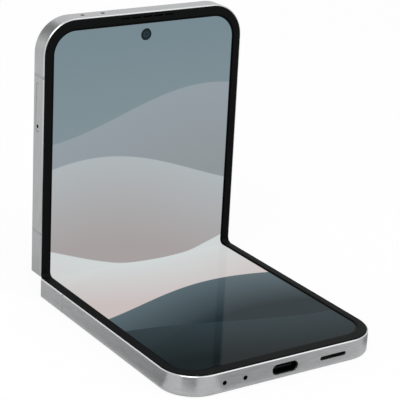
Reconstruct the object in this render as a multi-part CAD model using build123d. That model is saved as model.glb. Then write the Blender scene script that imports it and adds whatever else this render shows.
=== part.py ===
"""Clamshell folding phone with a flexible inner display, resting half open at a right angle.

Every piece is drawn with the phone lying flat open: X runs along the fold, Y runs away from the
fold and Z rises from the back to the display. Both halves are drawn on the +Y side, and the lower
one is mirrored to -Y. The last step folds the hinge to the rest pose and puts the origin at the
middle of the lower half's back face.
"""
import os
from math import acos, atan2, cos, degrees, pi, radians, sin, sqrt, tan

from build123d import *

# ---------------------------------------------------------------- overall sizes (mm)
WIDTH = 71.9
HALF_LENGTH = 82.45
THICKNESS = 6.9
CORNER_RADIUS = 11.0
END_GAP = 0.1
REST_FOLD = 90.0

# ---------------------------------------------------------------- frame
SIDE_WALL = 2.0
BACK_EDGE_RADIUS = 0.8
RIM_DROP = 0.34
RIM_CHAMFER = 0.25
RIM_LIP = 0.36
WEB = 0.6
CROSSBAR_END = 11.5
CHEEK = 1.5
BOSS_RADIUS = 1.7

# ---------------------------------------------------------------- glass backs
GLASS = 0.7
GLASS_INSET = 1.15
GLASS_START = 3.2
GLASS_FIT = 0.05

# ---------------------------------------------------------------- inner display and bezel
BEZEL_RISE = 0.3
BEZEL_BEVEL = 0.25
BEZEL_WALL = 1.84
BEZEL_LIP = 0.7
BEZEL_INNER_BEVEL = 0.14
GASKET_LIP_GAP = 0.03
BEZEL_END_EXTRA_UPPER = 0.2
BEZEL_END_EXTRA_LOWER = 0.7
DISPLAY = 0.45
DISPLAY_FIT = 0.1
SUPPORT_PLATE = 0.2

# ---------------------------------------------------------------- hinge
AXIS_OFFSET = 0.875
POCKET_RADIUS = 6.0
SPINE_RADIUS = 5.9
SPINE_DEPTH = 3.5
SPINE_EDGE_DEPTH = 3.0
SPINE_TOP_DEPTH = 0.95
SPINE_WALL = 0.45
SPINE_SIDE_GAP = 0.15
END_CAP = 1.0
SEAT_GAP = 0.03
ARM_TOP_DEPTH = 0.9
ARM_PLATE = 0.5
ARM_WIDTH = 6.0
ARM_REACH = 10.9
ARM_SIDE_GAP = 0.1
RAIL_IN = 1.9
RAIL_OUT = 2.5
RAIL_CLEARANCE = 0.04
RAIL_END = -45.0
ARM_SIDE_INSET = 7.55
ARM_SPACING = 7.4
HINGE_BLOCK_LAP = 6.0
HINGE_BLOCK_HALF = 5.0
FLEX_BLOCK_GAP = 3.3
FLEX_WIDTH = 5.0
FLEX = 0.12
FLEX_DEPTH = 0.9
FLEX_END = 12.5
FLEX_BEND = 2.6

# ---------------------------------------------------------------- synchronising gears
GEAR_MODULE = 0.2
GEAR_TEETH = 9
SECTOR_TEETH = 17
PRESSURE_ANGLE = 25.0
ADDENDUM = 0.75
DEDENDUM = 1.1
TOOTH_THINNING = 0.02
MESH_SLACK = 0.02
FLANK_STEPS = 3
GEAR_PIN_RADIUS = 0.3
GEAR_BORE_GAP = 0.03
GEAR_CAVITY_GAP = 0.07
GEAR_WALL = 0.5
GEAR_WIDTH = 1.3
GEAR_SIDE_GAP = 0.05
SECTOR_RIM_RADIUS = 1.12
SECTOR_ARM_WIDTH = 1.05
SECTOR_PLATE = 0.4
SECTOR_PAD_WIDTH = 5.0
SECTOR_PAD_GAP = 0.5
SECTOR_PAD_CORNER = 0.75
SECTOR_TRIM_DEPTH = 0.75
SECTOR_SPARE = 13.0
WASHER_RADIUS = 0.5
WASHERS_PER_PIN = 2
GEAR_BLOCK_HALF = 4.4
GEAR_FOOT = 4.4
GEAR_FOOT_DEPTH = 2.2

# ---------------------------------------------------------------- screws
SCREW_HEAD_RADIUS = 0.8
SCREW_HEAD = 0.4
SCREW_SHANK_RADIUS = 0.5
SCREW_GAP = 0.05
ARM_SCREW_LENGTH = 1.9
ARM_SCREW_INSET = 2.0
ARM_SCREW_SPREAD = 1.8
SECTOR_SCREW_SPREAD = 1.2
BOARD_SCREW_LENGTH = 1.65
SPINE_SCREW_LENGTH = 1.6
SPINE_SCREW_TIP = 3.1
SPINE_SCREW_INSET = 1.5
SPINE_SCREW_Y = 3.0

# ---------------------------------------------------------------- openings in the frame
PORT_Z = 3.2
MIC_RADIUS = 0.55
MIC_X = (-21.1, -14.0)
USB_WIDTH = 9.1
USB_HEIGHT = 3.3
USB_SHELL_WIDTH = 8.94
USB_SHELL_HEIGHT = 3.16
USB_SHELL_WALL = 0.3
USB_DEPTH = 7.3
USB_RECESS = 0.35
TONGUE_WIDTH = 6.65
TONGUE = 0.7
TONGUE_DROP = 1.0
USB_BOARD_GAP = 0.2
USB_FOOT = 0.3
USB_FOOT_WIDTH = 1.5
USB_FOOT_LENGTH = 2.5
SPEAKER_INSET = 16.6
SPEAKER_SLOT = 9.4
SPEAKER_SLOT_HEIGHT = 1.25
MESH = 0.35
MESH_HEIGHT = 2.0
MESH_LAP = 0.6
BAND_WIDTH = 1.0
BAND_DEPTH = 1.1
LOWER_BAND_Y = 14.2
UPPER_BAND_Y = 14.4
UPPER_BAND_END = 17.55

# ---------------------------------------------------------------- card tray and keys
TRAY_BAND_GAP = 1.8
TRAY_LENGTH = 15.4
TRAY_HEIGHT = 2.3
TRAY_FIT = 0.08
TRAY_HEAD = 1.7
TRAY_PLATE = 0.8
TRAY_PLATE_LENGTH = 14.0
TRAY_PLATE_WIDTH = 10.6
TRAY_PLATE_INSET = 0.9
CARD_WIDTH = 8.9
CARD_LENGTH = 12.4
EJECT_INSET = 1.6
EJECT_RADIUS = 0.45
TRAY_RIM = 0.8
CARD_LEDGE = 1.0
READER_WALL = 0.6
READER_FLOOR = 0.35
READER_FIT = 0.1
KEY_FIT = 0.12
KEY_HEIGHT = 2.5
KEY_FLANGE = 0.6
KEY_FLANGE_LIP = 0.45
KEY_EDGE = 0.15
POWER_KEY_SPACING = 22.0
POWER_KEY_LENGTH = 12.4
POWER_KEY_PROUD = 0.05
POWER_KEY_FREE = 0.05
VOLUME_KEY_BAND_GAP = 2.0
VOLUME_KEY_LENGTH = 17.0
VOLUME_KEY_PROUD = 0.25
VOLUME_KEY_FREE = 0.3
SWITCH_PLATE = 0.5
SWITCH_RADIUS = 1.2
SWITCH_DROP = 1.4
DOME_SEAT = 0.1
POWER_SWITCH_GAP = 0.3
VOLUME_SWITCH_GAP = 0.2
VOLUME_SWITCH_SPREAD = 5.0

# ---------------------------------------------------------------- cameras
FRONT_CAMERA_END = 7.25
FRONT_CAMERA_RADIUS = 1.85
FRONT_CAMERA_HOLE = 1.95
FRONT_CAMERA_BODY = 5.2
FRONT_CAMERA_DEPTH = 2.8
CAMERA_SIDE_GAP = 3.05
CAMERA_END_GAP = 1.45
CAMERA_SPACING = 15.2
RING_RADIUS = 6.3
RING_RISE = 2.3
RING_BORE = 4.4
RING_LEDGE = 0.8
RING_ROUND = 0.5
LENS_SINK = 0.2
LENS_GLASS = 0.6
LENS_FIT = 0.05
CAMERA_RADIUS = 4.6
CAMERA_NOSE = 3.0
CAMERA_GAP = 0.1
FLASH_SPACING = 10.2
FLASH_RADIUS = 1.6
FLASH_BODY = 2.4
FLASH_DEPTH = 0.6

# ---------------------------------------------------------------- boards, batteries, modules
CELL_LOWER = 4.1
CELL_UPPER = 3.6
CELL_GAP = 1.5
CELL_SIDE_GAP = 3.95
MOTOR_SIDE_GAP = 9.95
CELL_LOWER_END_GAP = 4.0
CELL_UPPER_END_GAP = 2.0
BOARD = 0.8
BOARD_DROP = 0.45
BOARD_END_GAP = 0.35
BOARD_SIDE_GAP = 0.95
SUB_BOARD_X = (-19.0, 8.0)
SUB_BOARD_LENGTH = 27.05
SUB_BOARD_ARM = (8.0, 18.5)
SUB_BOARD_CORNER_X = -25.0
SUB_BOARD_SCREW = 3.5
SUB_BOARD_ARM_SCREW = 11.0
SUB_BOARD_SCREW_X = (-16.0, 5.0)
MAIN_BOARD_LENGTH = 23.5
MAIN_BOARD_CAMERA_GAP = 3.7
MAIN_BOARD_LOBE = 11.5
MAIN_BOARD_LOBE_X = -5.0
MAIN_BOARD_LOBE_INSET = 4.95
MAIN_BOARD_LOBE_CORNER = 5.0
MAIN_BOARD_SCREW = 4.5
MAIN_BOARD_SCREW_X = (-16.0, 20.0)
LOBE_SCREW_X = -10.0
CAN = 1.3
CAN_WALL = 0.2
CAN_CORNER = 0.6
CAN_X = ((-13.5, 2.0), (4.0, 17.5))
CAN_START = 6.5
CAN_END = 1.5
LOBE_CAN_INSET = 6.95
LOBE_CAN_X = -12.5
LOBE_CAN = (0.3, 9.0)
SPEAKER_BODY_X = 9.0
SPEAKER_BODY_LENGTH = 8.0
SPEAKER_BODY_END = 10.55
SPEAKER_NOSE_INSET = 9.95
SPEAKER_GLASS_GAP = 0.4
MOTOR_WIDTH = 10.0
MOTOR_INSET = 1.95
MOTOR_PLACE = (1.0, 6.0)
MOTOR = 3.2
MIC_BODY = (3.4, 2.6, 1.0)
TOP_MIC_BODY = (3.4, 2.5, 1.8)
EARPIECE_X = -9.0
EARPIECE_CAMERA_GAP = 1.3
EARPIECE_DEPTH = 2.3
EARPIECE = 2.6
EARPIECE_GAP = 0.1
EARPIECE_SLOTS = 5
EARPIECE_SLOT = 3.2
EARPIECE_SLOT_WIDTH = 0.45
EARPIECE_SLOT_PITCH = 4.0
EARPIECE_SLOT_INSET = 1.09
EARPIECE_DUCT = 0.4
EARPIECE_MOUTH = 1.1
EARPIECE_MOUTH_INSET = 1.0
COVER_PANEL = 0.6
COVER_PANEL_INSET = 2.95
COVER_PANEL_CORNER = 3.0
COIL_END_GAP = 0.25
COIL_BAND = 10.0
COIL = 0.3

# ---------------------------------------------------------------- worked-out sizes
HALF_WIDTH = WIDTH / 2
HALF_END = END_GAP + HALF_LENGTH
DISPLAY_Z = THICKNESS - BEZEL_RISE
SEAT_Z = DISPLAY_Z - DISPLAY - SUPPORT_PLATE
WEB_Z = SEAT_Z - WEB
RIM_Z = THICKNESS - RIM_DROP
INNER_X = HALF_WIDTH - SIDE_WALL
INNER_END = HALF_END - SIDE_WALL
BEZEL_INSET = RIM_LIP + BEZEL_WALL
HALF_FOLD = radians(REST_FOLD) / 2
FOLD_RADIUS = AXIS_OFFSET * (1 / cos(HALF_FOLD) - 1) / (tan(HALF_FOLD) - HALF_FOLD)
FOLD_REACH = FOLD_RADIUS * HALF_FOLD
SPINE_HALF = HALF_WIDTH - CHEEK - SPINE_SIDE_GAP
SPINE_TOP = DISPLAY_Z - SPINE_TOP_DEPTH
ARM_Z = DISPLAY_Z - ARM_TOP_DEPTH - ARM_PLATE
ARM_SCREW_Y = ARM_REACH - ARM_SCREW_INSET
SECTOR_PLATE_Z = DISPLAY_Z - ARM_TOP_DEPTH - SECTOR_PLATE
GEAR_PITCH_RADIUS = GEAR_MODULE * GEAR_TEETH / 2
SECTOR_PITCH_RADIUS = GEAR_MODULE * SECTOR_TEETH / 2
GEAR_OUTER_RADIUS = GEAR_PITCH_RADIUS + ADDENDUM * GEAR_MODULE
SECTOR_OUTER_RADIUS = SECTOR_PITCH_RADIUS + ADDENDUM * GEAR_MODULE
SECTOR_ROOT_RADIUS = SECTOR_PITCH_RADIUS - DEDENDUM * GEAR_MODULE
GEAR_SPACING = 2 * GEAR_PITCH_RADIUS + MESH_SLACK
GEAR_Y = [(place - 1.5) * GEAR_SPACING for place in range(4)]
SECTOR_DISTANCE = SECTOR_PITCH_RADIUS + GEAR_PITCH_RADIUS + MESH_SLACK
GEAR_Z = DISPLAY_Z - sqrt(SECTOR_DISTANCE**2 - (GEAR_Y[3] - AXIS_OFFSET) ** 2)
SECTOR_CONTACT = -degrees(atan2(DISPLAY_Z - GEAR_Z, GEAR_Y[3] - AXIS_OFFSET))
SECTOR_START = GEAR_WIDTH / 2 + GEAR_WALL
SECTOR_END = SECTOR_START + GEAR_WIDTH + SECTOR_ARM_WIDTH
SECTOR_MIDDLE = SECTOR_START + GEAR_WIDTH + (SECTOR_ARM_WIDTH - GEAR_SIDE_GAP) / 2
BOARD_Z = WEB_Z - BOARD_DROP - BOARD
BOARD_END = INNER_END - BOARD_END_GAP
BOARD_SIDE_X = INNER_X - BOARD_SIDE_GAP
CELL_SIDE_X = INNER_X - CELL_SIDE_GAP
CELL_START = CROSSBAR_END + CELL_GAP
UPPER_ARM_X = HALF_WIDTH - ARM_SIDE_INSET
LOWER_ARM_X = UPPER_ARM_X - ARM_SPACING
HINGE_BLOCK_START = LOWER_ARM_X - HINGE_BLOCK_LAP
SPINE_SCREW_X = HINGE_BLOCK_START + SPINE_SCREW_INSET
FLEX_X = HINGE_BLOCK_START - FLEX_BLOCK_GAP
SPEAKER_X = INNER_X - SPEAKER_INSET
UPPER_BANDS_Y = (UPPER_BAND_Y, HALF_END - UPPER_BAND_END)
TRAY_END = UPPER_BANDS_Y[1] - BAND_WIDTH / 2 - TRAY_BAND_GAP
TRAY_START = TRAY_END - TRAY_LENGTH
TRAY_PLATE_END = TRAY_END - TRAY_PLATE_INSET
TRAY_PLATE_START = TRAY_PLATE_END - TRAY_PLATE_WIDTH
EJECT_Y = TRAY_START + EJECT_INSET
VOLUME_KEY_Y = UPPER_BANDS_Y[1] - BAND_WIDTH / 2 - VOLUME_KEY_BAND_GAP - VOLUME_KEY_LENGTH / 2
POWER_KEY_Y = VOLUME_KEY_Y - POWER_KEY_SPACING
FRONT_CAMERA_Y = HALF_END - FRONT_CAMERA_END
REAR_CAMERA_Y = HALF_END - CAMERA_END_GAP - RING_RADIUS
OUTER_CAMERA_X = HALF_WIDTH - CAMERA_SIDE_GAP - RING_RADIUS
REAR_CAMERA_X = (OUTER_CAMERA_X, OUTER_CAMERA_X - CAMERA_SPACING)
FLASH_X = REAR_CAMERA_X[1] - FLASH_SPACING
SUB_BOARD_START = HALF_END - SUB_BOARD_LENGTH
MAIN_BOARD_END = REAR_CAMERA_Y - CAMERA_RADIUS - MAIN_BOARD_CAMERA_GAP
MAIN_BOARD_START = MAIN_BOARD_END - MAIN_BOARD_LENGTH
LOWER_CELL_END = SUB_BOARD_START - CELL_LOWER_END_GAP
UPPER_CELL_END = MAIN_BOARD_START - CELL_UPPER_END_GAP


# ---------------------------------------------------------------- simple solids
def slab(x_range, y_range, z_range):
    """A box given by its three ranges."""
    ranges = (x_range, y_range, z_range)
    middle = [(low + high) / 2 for low, high in ranges]
    size = [high - low for low, high in ranges]
    return Pos(*middle) * Box(*size)


def x_rod(radius, x_range, y, z):
    """A cylinder along X."""
    length = x_range[1] - x_range[0]
    return Pos((x_range[0] + x_range[1]) / 2, y, z) * Rot(0, 90, 0) * Cylinder(radius, length)


def y_rod(radius, y_range, x, z):
    """A cylinder along Y."""
    length = y_range[1] - y_range[0]
    return Pos(x, (y_range[0] + y_range[1]) / 2, z) * Rot(90, 0, 0) * Cylinder(radius, length)


def z_rod(radius, z_range, x, y):
    """A cylinder along Z."""
    length = z_range[1] - z_range[0]
    return Pos(x, y, (z_range[0] + z_range[1]) / 2) * Cylinder(radius, length)


def end_slot(length, height, y_range, x, z):
    """A round-ended slot through an end wall."""
    outline = Plane.XZ * Pos(x, z) * SlotOverall(length, height)
    return Pos(0, y_range[1], 0) * extrude(outline, y_range[1] - y_range[0])


def side_slot(length, height, x_range, y, z):
    """A round-ended slot through a side wall."""
    outline = Plane.YZ * Pos(y, z) * SlotOverall(length, height)
    return Pos(x_range[0], 0, 0) * extrude(outline, x_range[1] - x_range[0])


def half_plate(inset, start, z_range, end_extra=0.0):
    """A plate inset within one half, with the half's two rounded far corners."""
    end = HALF_END - inset - end_extra
    outline = Pos(0, (start + end) / 2) * Rectangle(WIDTH - 2 * inset, end - start)
    corners = outline.vertices().group_by(Axis.Y)[-1]
    outline = fillet(corners, CORNER_RADIUS - inset)
    return Pos(0, 0, z_range[0]) * extrude(outline, z_range[1] - z_range[0])


def screw(length):
    """A small pan-head screw pointing down, with the underside of its head at the origin."""
    head = z_rod(SCREW_HEAD_RADIUS, (0, SCREW_HEAD), 0, 0)
    head = fillet(head.faces().sort_by(Axis.Z)[-1].edges(), SCREW_HEAD / 3)
    return head + z_rod(SCREW_SHANK_RADIUS, (-length, 0), 0, 0)


def screw_hole(length):
    """The clearance that a screw's shank needs."""
    return z_rod(SCREW_SHANK_RADIUS + SCREW_GAP, (-length - SCREW_GAP, 0), 0, 0)


# ---------------------------------------------------------------- hinge pieces
def spine_section(inset, top):
    """The spine's cross-section: two sides round the hinge axes and a gently crowned sole."""
    radius = SPINE_RADIUS - inset
    reach = AXIS_OFFSET + SPINE_RADIUS
    left = Pos(-AXIS_OFFSET, DISPLAY_Z) * Circle(radius)
    left &= Pos(-reach / 2, DISPLAY_Z - reach / 2) * Rectangle(reach, reach)
    right = Pos(AXIS_OFFSET, DISPLAY_Z) * Circle(radius)
    right &= Pos(reach / 2, DISPLAY_Z - reach / 2) * Rectangle(reach, reach)
    edge_y = AXIS_OFFSET + sqrt(SPINE_RADIUS**2 - SPINE_EDGE_DEPTH**2)
    crown = SPINE_DEPTH - SPINE_EDGE_DEPTH
    sole_radius = (edge_y**2 + crown**2) / (2 * crown)
    sole = Pos(0, DISPLAY_Z - SPINE_DEPTH + sole_radius) * Circle(sole_radius - inset)
    below_top = Pos(0, top - reach / 2) * Rectangle(2 * reach, reach)
    return (left + right) & sole & below_top


def spine_body(inset, top, x_range):
    """A length of the spine's section."""
    section = Plane.YZ * spine_section(inset, top)
    return Pos(x_range[0], 0, 0) * extrude(section, x_range[1] - x_range[0])


def rail_ring(clearance, x_range):
    """The full ring, about the upper half's axis, that an arm's rail is part of."""
    ring = x_rod(RAIL_OUT + clearance, x_range, AXIS_OFFSET, DISPLAY_Z)
    return ring - x_rod(RAIL_IN - clearance, x_range, AXIS_OFFSET, DISPLAY_Z)


def turned_slab(x_range, y_range, z_range, angle):
    """A box placed from the upper half's axis and turned about it."""
    return Pos(0, AXIS_OFFSET, DISPLAY_Z) * Rot(angle, 0, 0) * slab(x_range, y_range, z_range)


def arm_range(centre):
    """Where an arm lies along the fold."""
    return (centre - ARM_WIDTH / 2, centre + ARM_WIDTH / 2)


def hinge_arm(centre):
    """One swing arm: an arc rail about the hinge axis and a plate that is screwed to the half."""
    x_range = arm_range(centre)
    reach = 2 * RAIL_OUT
    ring = rail_ring(0, x_range)
    ring &= slab(x_range, (AXIS_OFFSET - reach, AXIS_OFFSET + reach), (0, ARM_Z + ARM_PLATE))
    rail = ring - turned_slab(x_range, (0, reach), (-reach, 0), RAIL_END - 90)
    plate = slab(x_range, (AXIS_OFFSET, ARM_REACH), (ARM_Z, ARM_Z + ARM_PLATE))
    plate -= x_rod(RAIL_IN, x_range, AXIS_OFFSET, DISPLAY_Z)
    plate = fillet(plate.edges().filter_by(Axis.Z).group_by(Axis.Y)[-1], ARM_WIDTH / 6)
    arm = rail + plate
    for side in (-1, 1):
        place = Pos(centre + side * ARM_SCREW_SPREAD, ARM_SCREW_Y, ARM_Z + ARM_PLATE / 2)
        arm -= place * screw_hole(ARM_PLATE)
        arm -= place * z_rod(SCREW_HEAD_RADIUS + SCREW_GAP, (0, ARM_PLATE), 0, 0)
    return arm


def arm_screws(centre, spread, seat_z):
    """The two screws of one arm."""
    places = [(centre - spread, ARM_SCREW_Y, seat_z), (centre + spread, ARM_SCREW_Y, seat_z)]
    return [Pos(*place) * screw(ARM_SCREW_LENGTH) for place in places]


def tooth_outline(teeth, first_tooth):
    """Corner points of a spur gear with involute flanks, one tooth centred on first_tooth."""
    pitch_radius = GEAR_MODULE * teeth / 2
    base_radius = pitch_radius * cos(radians(PRESSURE_ANGLE))
    outer_radius = pitch_radius + ADDENDUM * GEAR_MODULE
    root_radius = pitch_radius - DEDENDUM * GEAR_MODULE
    at_pitch = pi / (2 * teeth) - TOOTH_THINNING / (2 * pitch_radius)
    at_base = at_pitch + tan(radians(PRESSURE_ANGLE)) - radians(PRESSURE_ANGLE)
    flank = []
    if root_radius < base_radius:
        flank.append((root_radius, at_base))
    start = max(root_radius, base_radius)
    for step in range(FLANK_STEPS + 1):
        radius = start + (outer_radius - start) * step / FLANK_STEPS
        roll = acos(min(1.0, base_radius / radius))
        flank.append((radius, at_base - (tan(roll) - roll)))
    points = []
    for tooth in range(teeth):
        centre = radians(first_tooth) + 2 * pi * tooth / teeth
        points += [(r * cos(centre - half), r * sin(centre - half)) for r, half in flank]
        points += [(r * cos(centre + half), r * sin(centre + half)) for r, half in reversed(flank)]
    return points


def gear_disc(teeth, first_tooth, x_range, y, z):
    """A toothed disc along X."""
    face = make_face(Polyline(*tooth_outline(teeth, first_tooth), close=True))
    disc = extrude(Plane.YZ * Pos(y, z) * face, x_range[1] - x_range[0])
    return Pos(x_range[0], 0, 0) * disc


def meshing_tooth(teeth, tooth, direction, next_teeth):
    """Angle of one tooth of the next gear, which is half a pitch out of step on the line of centres."""
    step = (direction - tooth) * teeth / 360 % 1
    return direction + 180 - (0.5 - step) * 360 / next_teeth


def sync_sector(first_tooth, side):
    """A half's toothed sector about the upper half's axis, with its arm beside the toothed part."""
    inner = SECTOR_START + GEAR_SIDE_GAP
    outer = SECTOR_START + GEAR_WIDTH
    arm_end = SECTOR_END - GEAR_SIDE_GAP
    toothed = sorted((side * inner, side * outer))
    plain = sorted((side * outer, side * arm_end))
    sector = gear_disc(SECTOR_TEETH, first_tooth, toothed, AXIS_OFFSET, DISPLAY_Z)
    sector += x_rod(SECTOR_ROOT_RADIUS, plain, AXIS_OFFSET, DISPLAY_Z)
    both = sorted((side * inner, side * arm_end))
    reach = 2 * SECTOR_OUTER_RADIUS
    trim_y = (AXIS_OFFSET - reach, AXIS_OFFSET + reach)
    sector &= slab(both, trim_y, (0, DISPLAY_Z - SECTOR_TRIM_DEPTH))
    sweep = SECTOR_CONTACT - 90 - SECTOR_SPARE
    sector -= turned_slab(both, (0, reach), (0, reach), SECTOR_CONTACT + SECTOR_SPARE)
    sector -= turned_slab(both, (0, reach), (-reach, 0), sweep)
    plate_z = (SECTOR_PLATE_Z, SECTOR_PLATE_Z + SECTOR_PLATE)
    sector += slab(plain, (AXIS_OFFSET, ARM_REACH), plate_z)
    middle = side * SECTOR_MIDDLE
    pad_range = (middle - SECTOR_PAD_WIDTH / 2, middle + SECTOR_PAD_WIDTH / 2)
    pad_start = AXIS_OFFSET + POCKET_RADIUS + SECTOR_PAD_GAP
    pad = slab(pad_range, (pad_start, ARM_REACH), plate_z)
    sector += fillet(pad.edges().filter_by(Axis.Z), SECTOR_PAD_CORNER)
    sector -= x_rod(SECTOR_RIM_RADIUS, both, AXIS_OFFSET, DISPLAY_Z)
    for offset in (-1, 1):
        screw_x = middle + offset * SECTOR_SCREW_SPREAD
        place = Pos(screw_x, ARM_SCREW_Y, SECTOR_PLATE_Z + SECTOR_PLATE / 2)
        sector -= place * screw_hole(SECTOR_PLATE)
        sector -= place * z_rod(SCREW_HEAD_RADIUS + SCREW_GAP, (0, SECTOR_PLATE), 0, 0)
    return sector


# ---------------------------------------------------------------- frames
def antenna_band(side, y):
    """The cutter for one plastic antenna break: a strip round one side wall."""
    x_range = sorted((side * (HALF_WIDTH - BAND_DEPTH), side * (HALF_WIDTH + 1)))
    return slab(x_range, (y - BAND_WIDTH / 2, y + BAND_WIDTH / 2), (-1, THICKNESS))


def half_frame(arm_x, sector_side):
    """The shared shape of both aluminium frames: band, web, crossbar and hinge pocket."""
    frame = half_plate(0, END_GAP, (0, RIM_Z))
    back_edges = frame.faces().sort_by(Axis.Z)[0].edges().sort_by(Axis.Y)[1:]
    frame = fillet(back_edges, BACK_EDGE_RADIUS)
    rim_edges = frame.faces().sort_by(Axis.Z)[-1].edges().sort_by(Axis.Y)[1:]
    frame = chamfer(rim_edges, RIM_CHAMFER)
    frame -= half_plate(RIM_LIP, 0, (SEAT_Z, THICKNESS))
    frame -= half_plate(GLASS_INSET, GLASS_START, (-1, GLASS))
    frame -= half_plate(SIDE_WALL, CROSSBAR_END, (GLASS, WEB_Z))
    pocket_x = (CHEEK - HALF_WIDTH, HALF_WIDTH - CHEEK)
    frame -= x_rod(POCKET_RADIUS, pocket_x, AXIS_OFFSET, DISPLAY_Z)
    recess_y = (AXIS_OFFSET, ARM_REACH + ARM_SIDE_GAP)
    for side in (-1, 1):
        low, high = arm_range(side * arm_x)
        recess_x = (low - ARM_SIDE_GAP, high + ARM_SIDE_GAP)
        frame -= slab(recess_x, recess_y, (ARM_Z, SEAT_Z))
        for offset in (-1, 1):
            place = Pos(side * arm_x + offset * ARM_SCREW_SPREAD, ARM_SCREW_Y, ARM_Z)
            frame -= place * screw_hole(ARM_SCREW_LENGTH)
    middle = sector_side * SECTOR_MIDDLE
    half_pad = SECTOR_PAD_WIDTH / 2 + ARM_SIDE_GAP
    frame -= slab((middle - half_pad, middle + half_pad), recess_y, (SECTOR_PLATE_Z, SEAT_Z))
    for offset in (-1, 1):
        place = Pos(middle + offset * SECTOR_SCREW_SPREAD, ARM_SCREW_Y, SECTOR_PLATE_Z)
        frame -= place * screw_hole(ARM_SCREW_LENGTH)
    flex_x = (FLEX_X - FLEX_WIDTH / 2 - ARM_SIDE_GAP, FLEX_X + FLEX_WIDTH / 2 + ARM_SIDE_GAP)
    frame -= slab(flex_x, (AXIS_OFFSET, FLEX_END + ARM_SIDE_GAP), (DISPLAY_Z - FLEX_DEPTH, SEAT_Z))
    return frame


def board_boss(x, y):
    """A boss under the web that a circuit board is screwed to."""
    return z_rod(BOSS_RADIUS, (WEB_Z - BOARD_DROP, WEB_Z), x, y)


def on_board(piece, place):
    """A piece turned to point up from a board's underside at one of its screws."""
    return Pos(*place, BOARD_Z) * Rot(180, 0, 0) * piece


def bezel(end_extra):
    """The raised soft rim round one half's display: a wall on the frame and a lip over the display."""
    ring = half_plate(RIM_LIP, FOLD_REACH, (SEAT_Z, THICKNESS))
    outer_edges = ring.faces().sort_by(Axis.Z)[-1].edges().sort_by(Axis.Y)[1:]
    ring = chamfer(outer_edges, BEZEL_BEVEL)
    ring -= half_plate(BEZEL_INSET, 0, (SEAT_Z - 1, DISPLAY_Z))
    opening = half_plate(BEZEL_INSET + BEZEL_LIP, 0, (DISPLAY_Z - 1, THICKNESS), end_extra)
    bevel_start = Pos(0, 0, -BEZEL_INNER_BEVEL) * opening.faces().sort_by(Axis.Z)[-1]
    return ring - opening - extrude(bevel_start, BEZEL_INNER_BEVEL, taper=-45)


def side_key(length, y, proud, free):
    """A side key: a round-ended cap through the side wall and a flange that keeps it in."""
    cap_x = (INNER_X - free - KEY_FLANGE / 2, HALF_WIDTH + proud)
    cap = side_slot(length, KEY_HEIGHT, cap_x, y, PORT_Z)
    cap = fillet(cap.faces().sort_by(Axis.X)[-1].edges(), KEY_EDGE)
    flange_x = (INNER_X - free - KEY_FLANGE, INNER_X - free)
    flange_size = (length + 2 * KEY_FLANGE_LIP, KEY_HEIGHT + 2 * KEY_FLANGE_LIP)
    return cap + side_slot(*flange_size, flange_x, y, PORT_Z)


def battery(x_range, end, depth):
    """A flat cell under the web, next to the crossbar."""
    cell = slab(x_range, (CELL_START, end), (WEB_Z - depth, WEB_Z))
    return fillet(cell.edges().filter_by(Axis.Y), depth / 4)


def microphone(x, size, end, top):
    """A microphone's body with its port side at the end wall."""
    width, length, height = size
    return slab((x - width / 2, x + width / 2), (end - length, end), (top - height, top))


# ---------------------------------------------------------------- placing in the rest pose
LOWER_AXIS = Axis((0, -AXIS_OFFSET, DISPLAY_Z), (1, 0, 0))
UPPER_AXIS = Axis((0, AXIS_OFFSET, DISPLAY_Z), (1, 0, 0))
TO_ORIGIN = Pos(0, HALF_END - HALF_LENGTH / 2, 0)


def on_lower(pieces):
    """Pieces of the lower half, drawn on the +Y side and mirrored across the fold."""
    return [TO_ORIGIN * mirror(piece, about=Plane.XZ) for piece in pieces]


def on_spine(pieces):
    """Pieces of the hinge's spine, turned by half the fold about the lower axis."""
    return [TO_ORIGIN * piece.rotate(LOWER_AXIS, REST_FOLD / 2) for piece in pieces]


def on_upper(pieces):
    """Pieces of the upper half, turned by half the fold about each axis."""
    return on_spine([piece.rotate(UPPER_AXIS, REST_FOLD / 2) for piece in pieces])


phone = {}

# ---------------------------------------------------------------- lower half
board_hole = screw_hole(BOARD_SCREW_LENGTH)
lower_frame = half_frame(LOWER_ARM_X, -1)
lower_places = [(x, SUB_BOARD_START + SUB_BOARD_SCREW) for x in SUB_BOARD_SCREW_X]
lower_places.append((-CELL_SIDE_X, SUB_BOARD_START + SUB_BOARD_ARM_SCREW))
for place in lower_places:
    lower_frame += board_boss(*place)
    lower_frame -= on_board(board_hole, place)
wall_y = (INNER_END - 1, HALF_END + 1)
lower_frame -= end_slot(USB_WIDTH, USB_HEIGHT, wall_y, 0, PORT_Z)
lower_frame -= end_slot(SPEAKER_SLOT, SPEAKER_SLOT_HEIGHT, wall_y, SPEAKER_X, PORT_Z)
for x in MIC_X:
    lower_frame -= y_rod(MIC_RADIUS, wall_y, x, PORT_Z)
lower_bands = [antenna_band(side, LOWER_BAND_Y) for side in (-1, 1)]
phone["antenna_breaks_lower"] = on_lower([lower_frame & band for band in lower_bands])
for band in lower_bands:
    lower_frame -= band
phone["lower_frame"] = on_lower([lower_frame])

back_glass = half_plate(GLASS_INSET + GLASS_FIT, GLASS_START + GLASS_FIT, (0, GLASS))
back_glass = chamfer(back_glass.faces().sort_by(Axis.Z)[0].edges(), GLASS / 4)
phone["lower_back_glass"] = on_lower([back_glass])
phone["lower_bezel"] = on_lower([bezel(BEZEL_END_EXTRA_LOWER)])

panel = half_plate(BEZEL_INSET + DISPLAY_FIT, FOLD_REACH, (DISPLAY_Z - DISPLAY, DISPLAY_Z))
support_z = (SEAT_Z, SEAT_Z + SUPPORT_PLATE)
support = half_plate(BEZEL_INSET + 3 * DISPLAY_FIT, FOLD_REACH + DISPLAY_FIT, support_z)
phone["display_lower"] = on_lower([panel])
phone["display_support_lower"] = on_lower([support])

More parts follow.
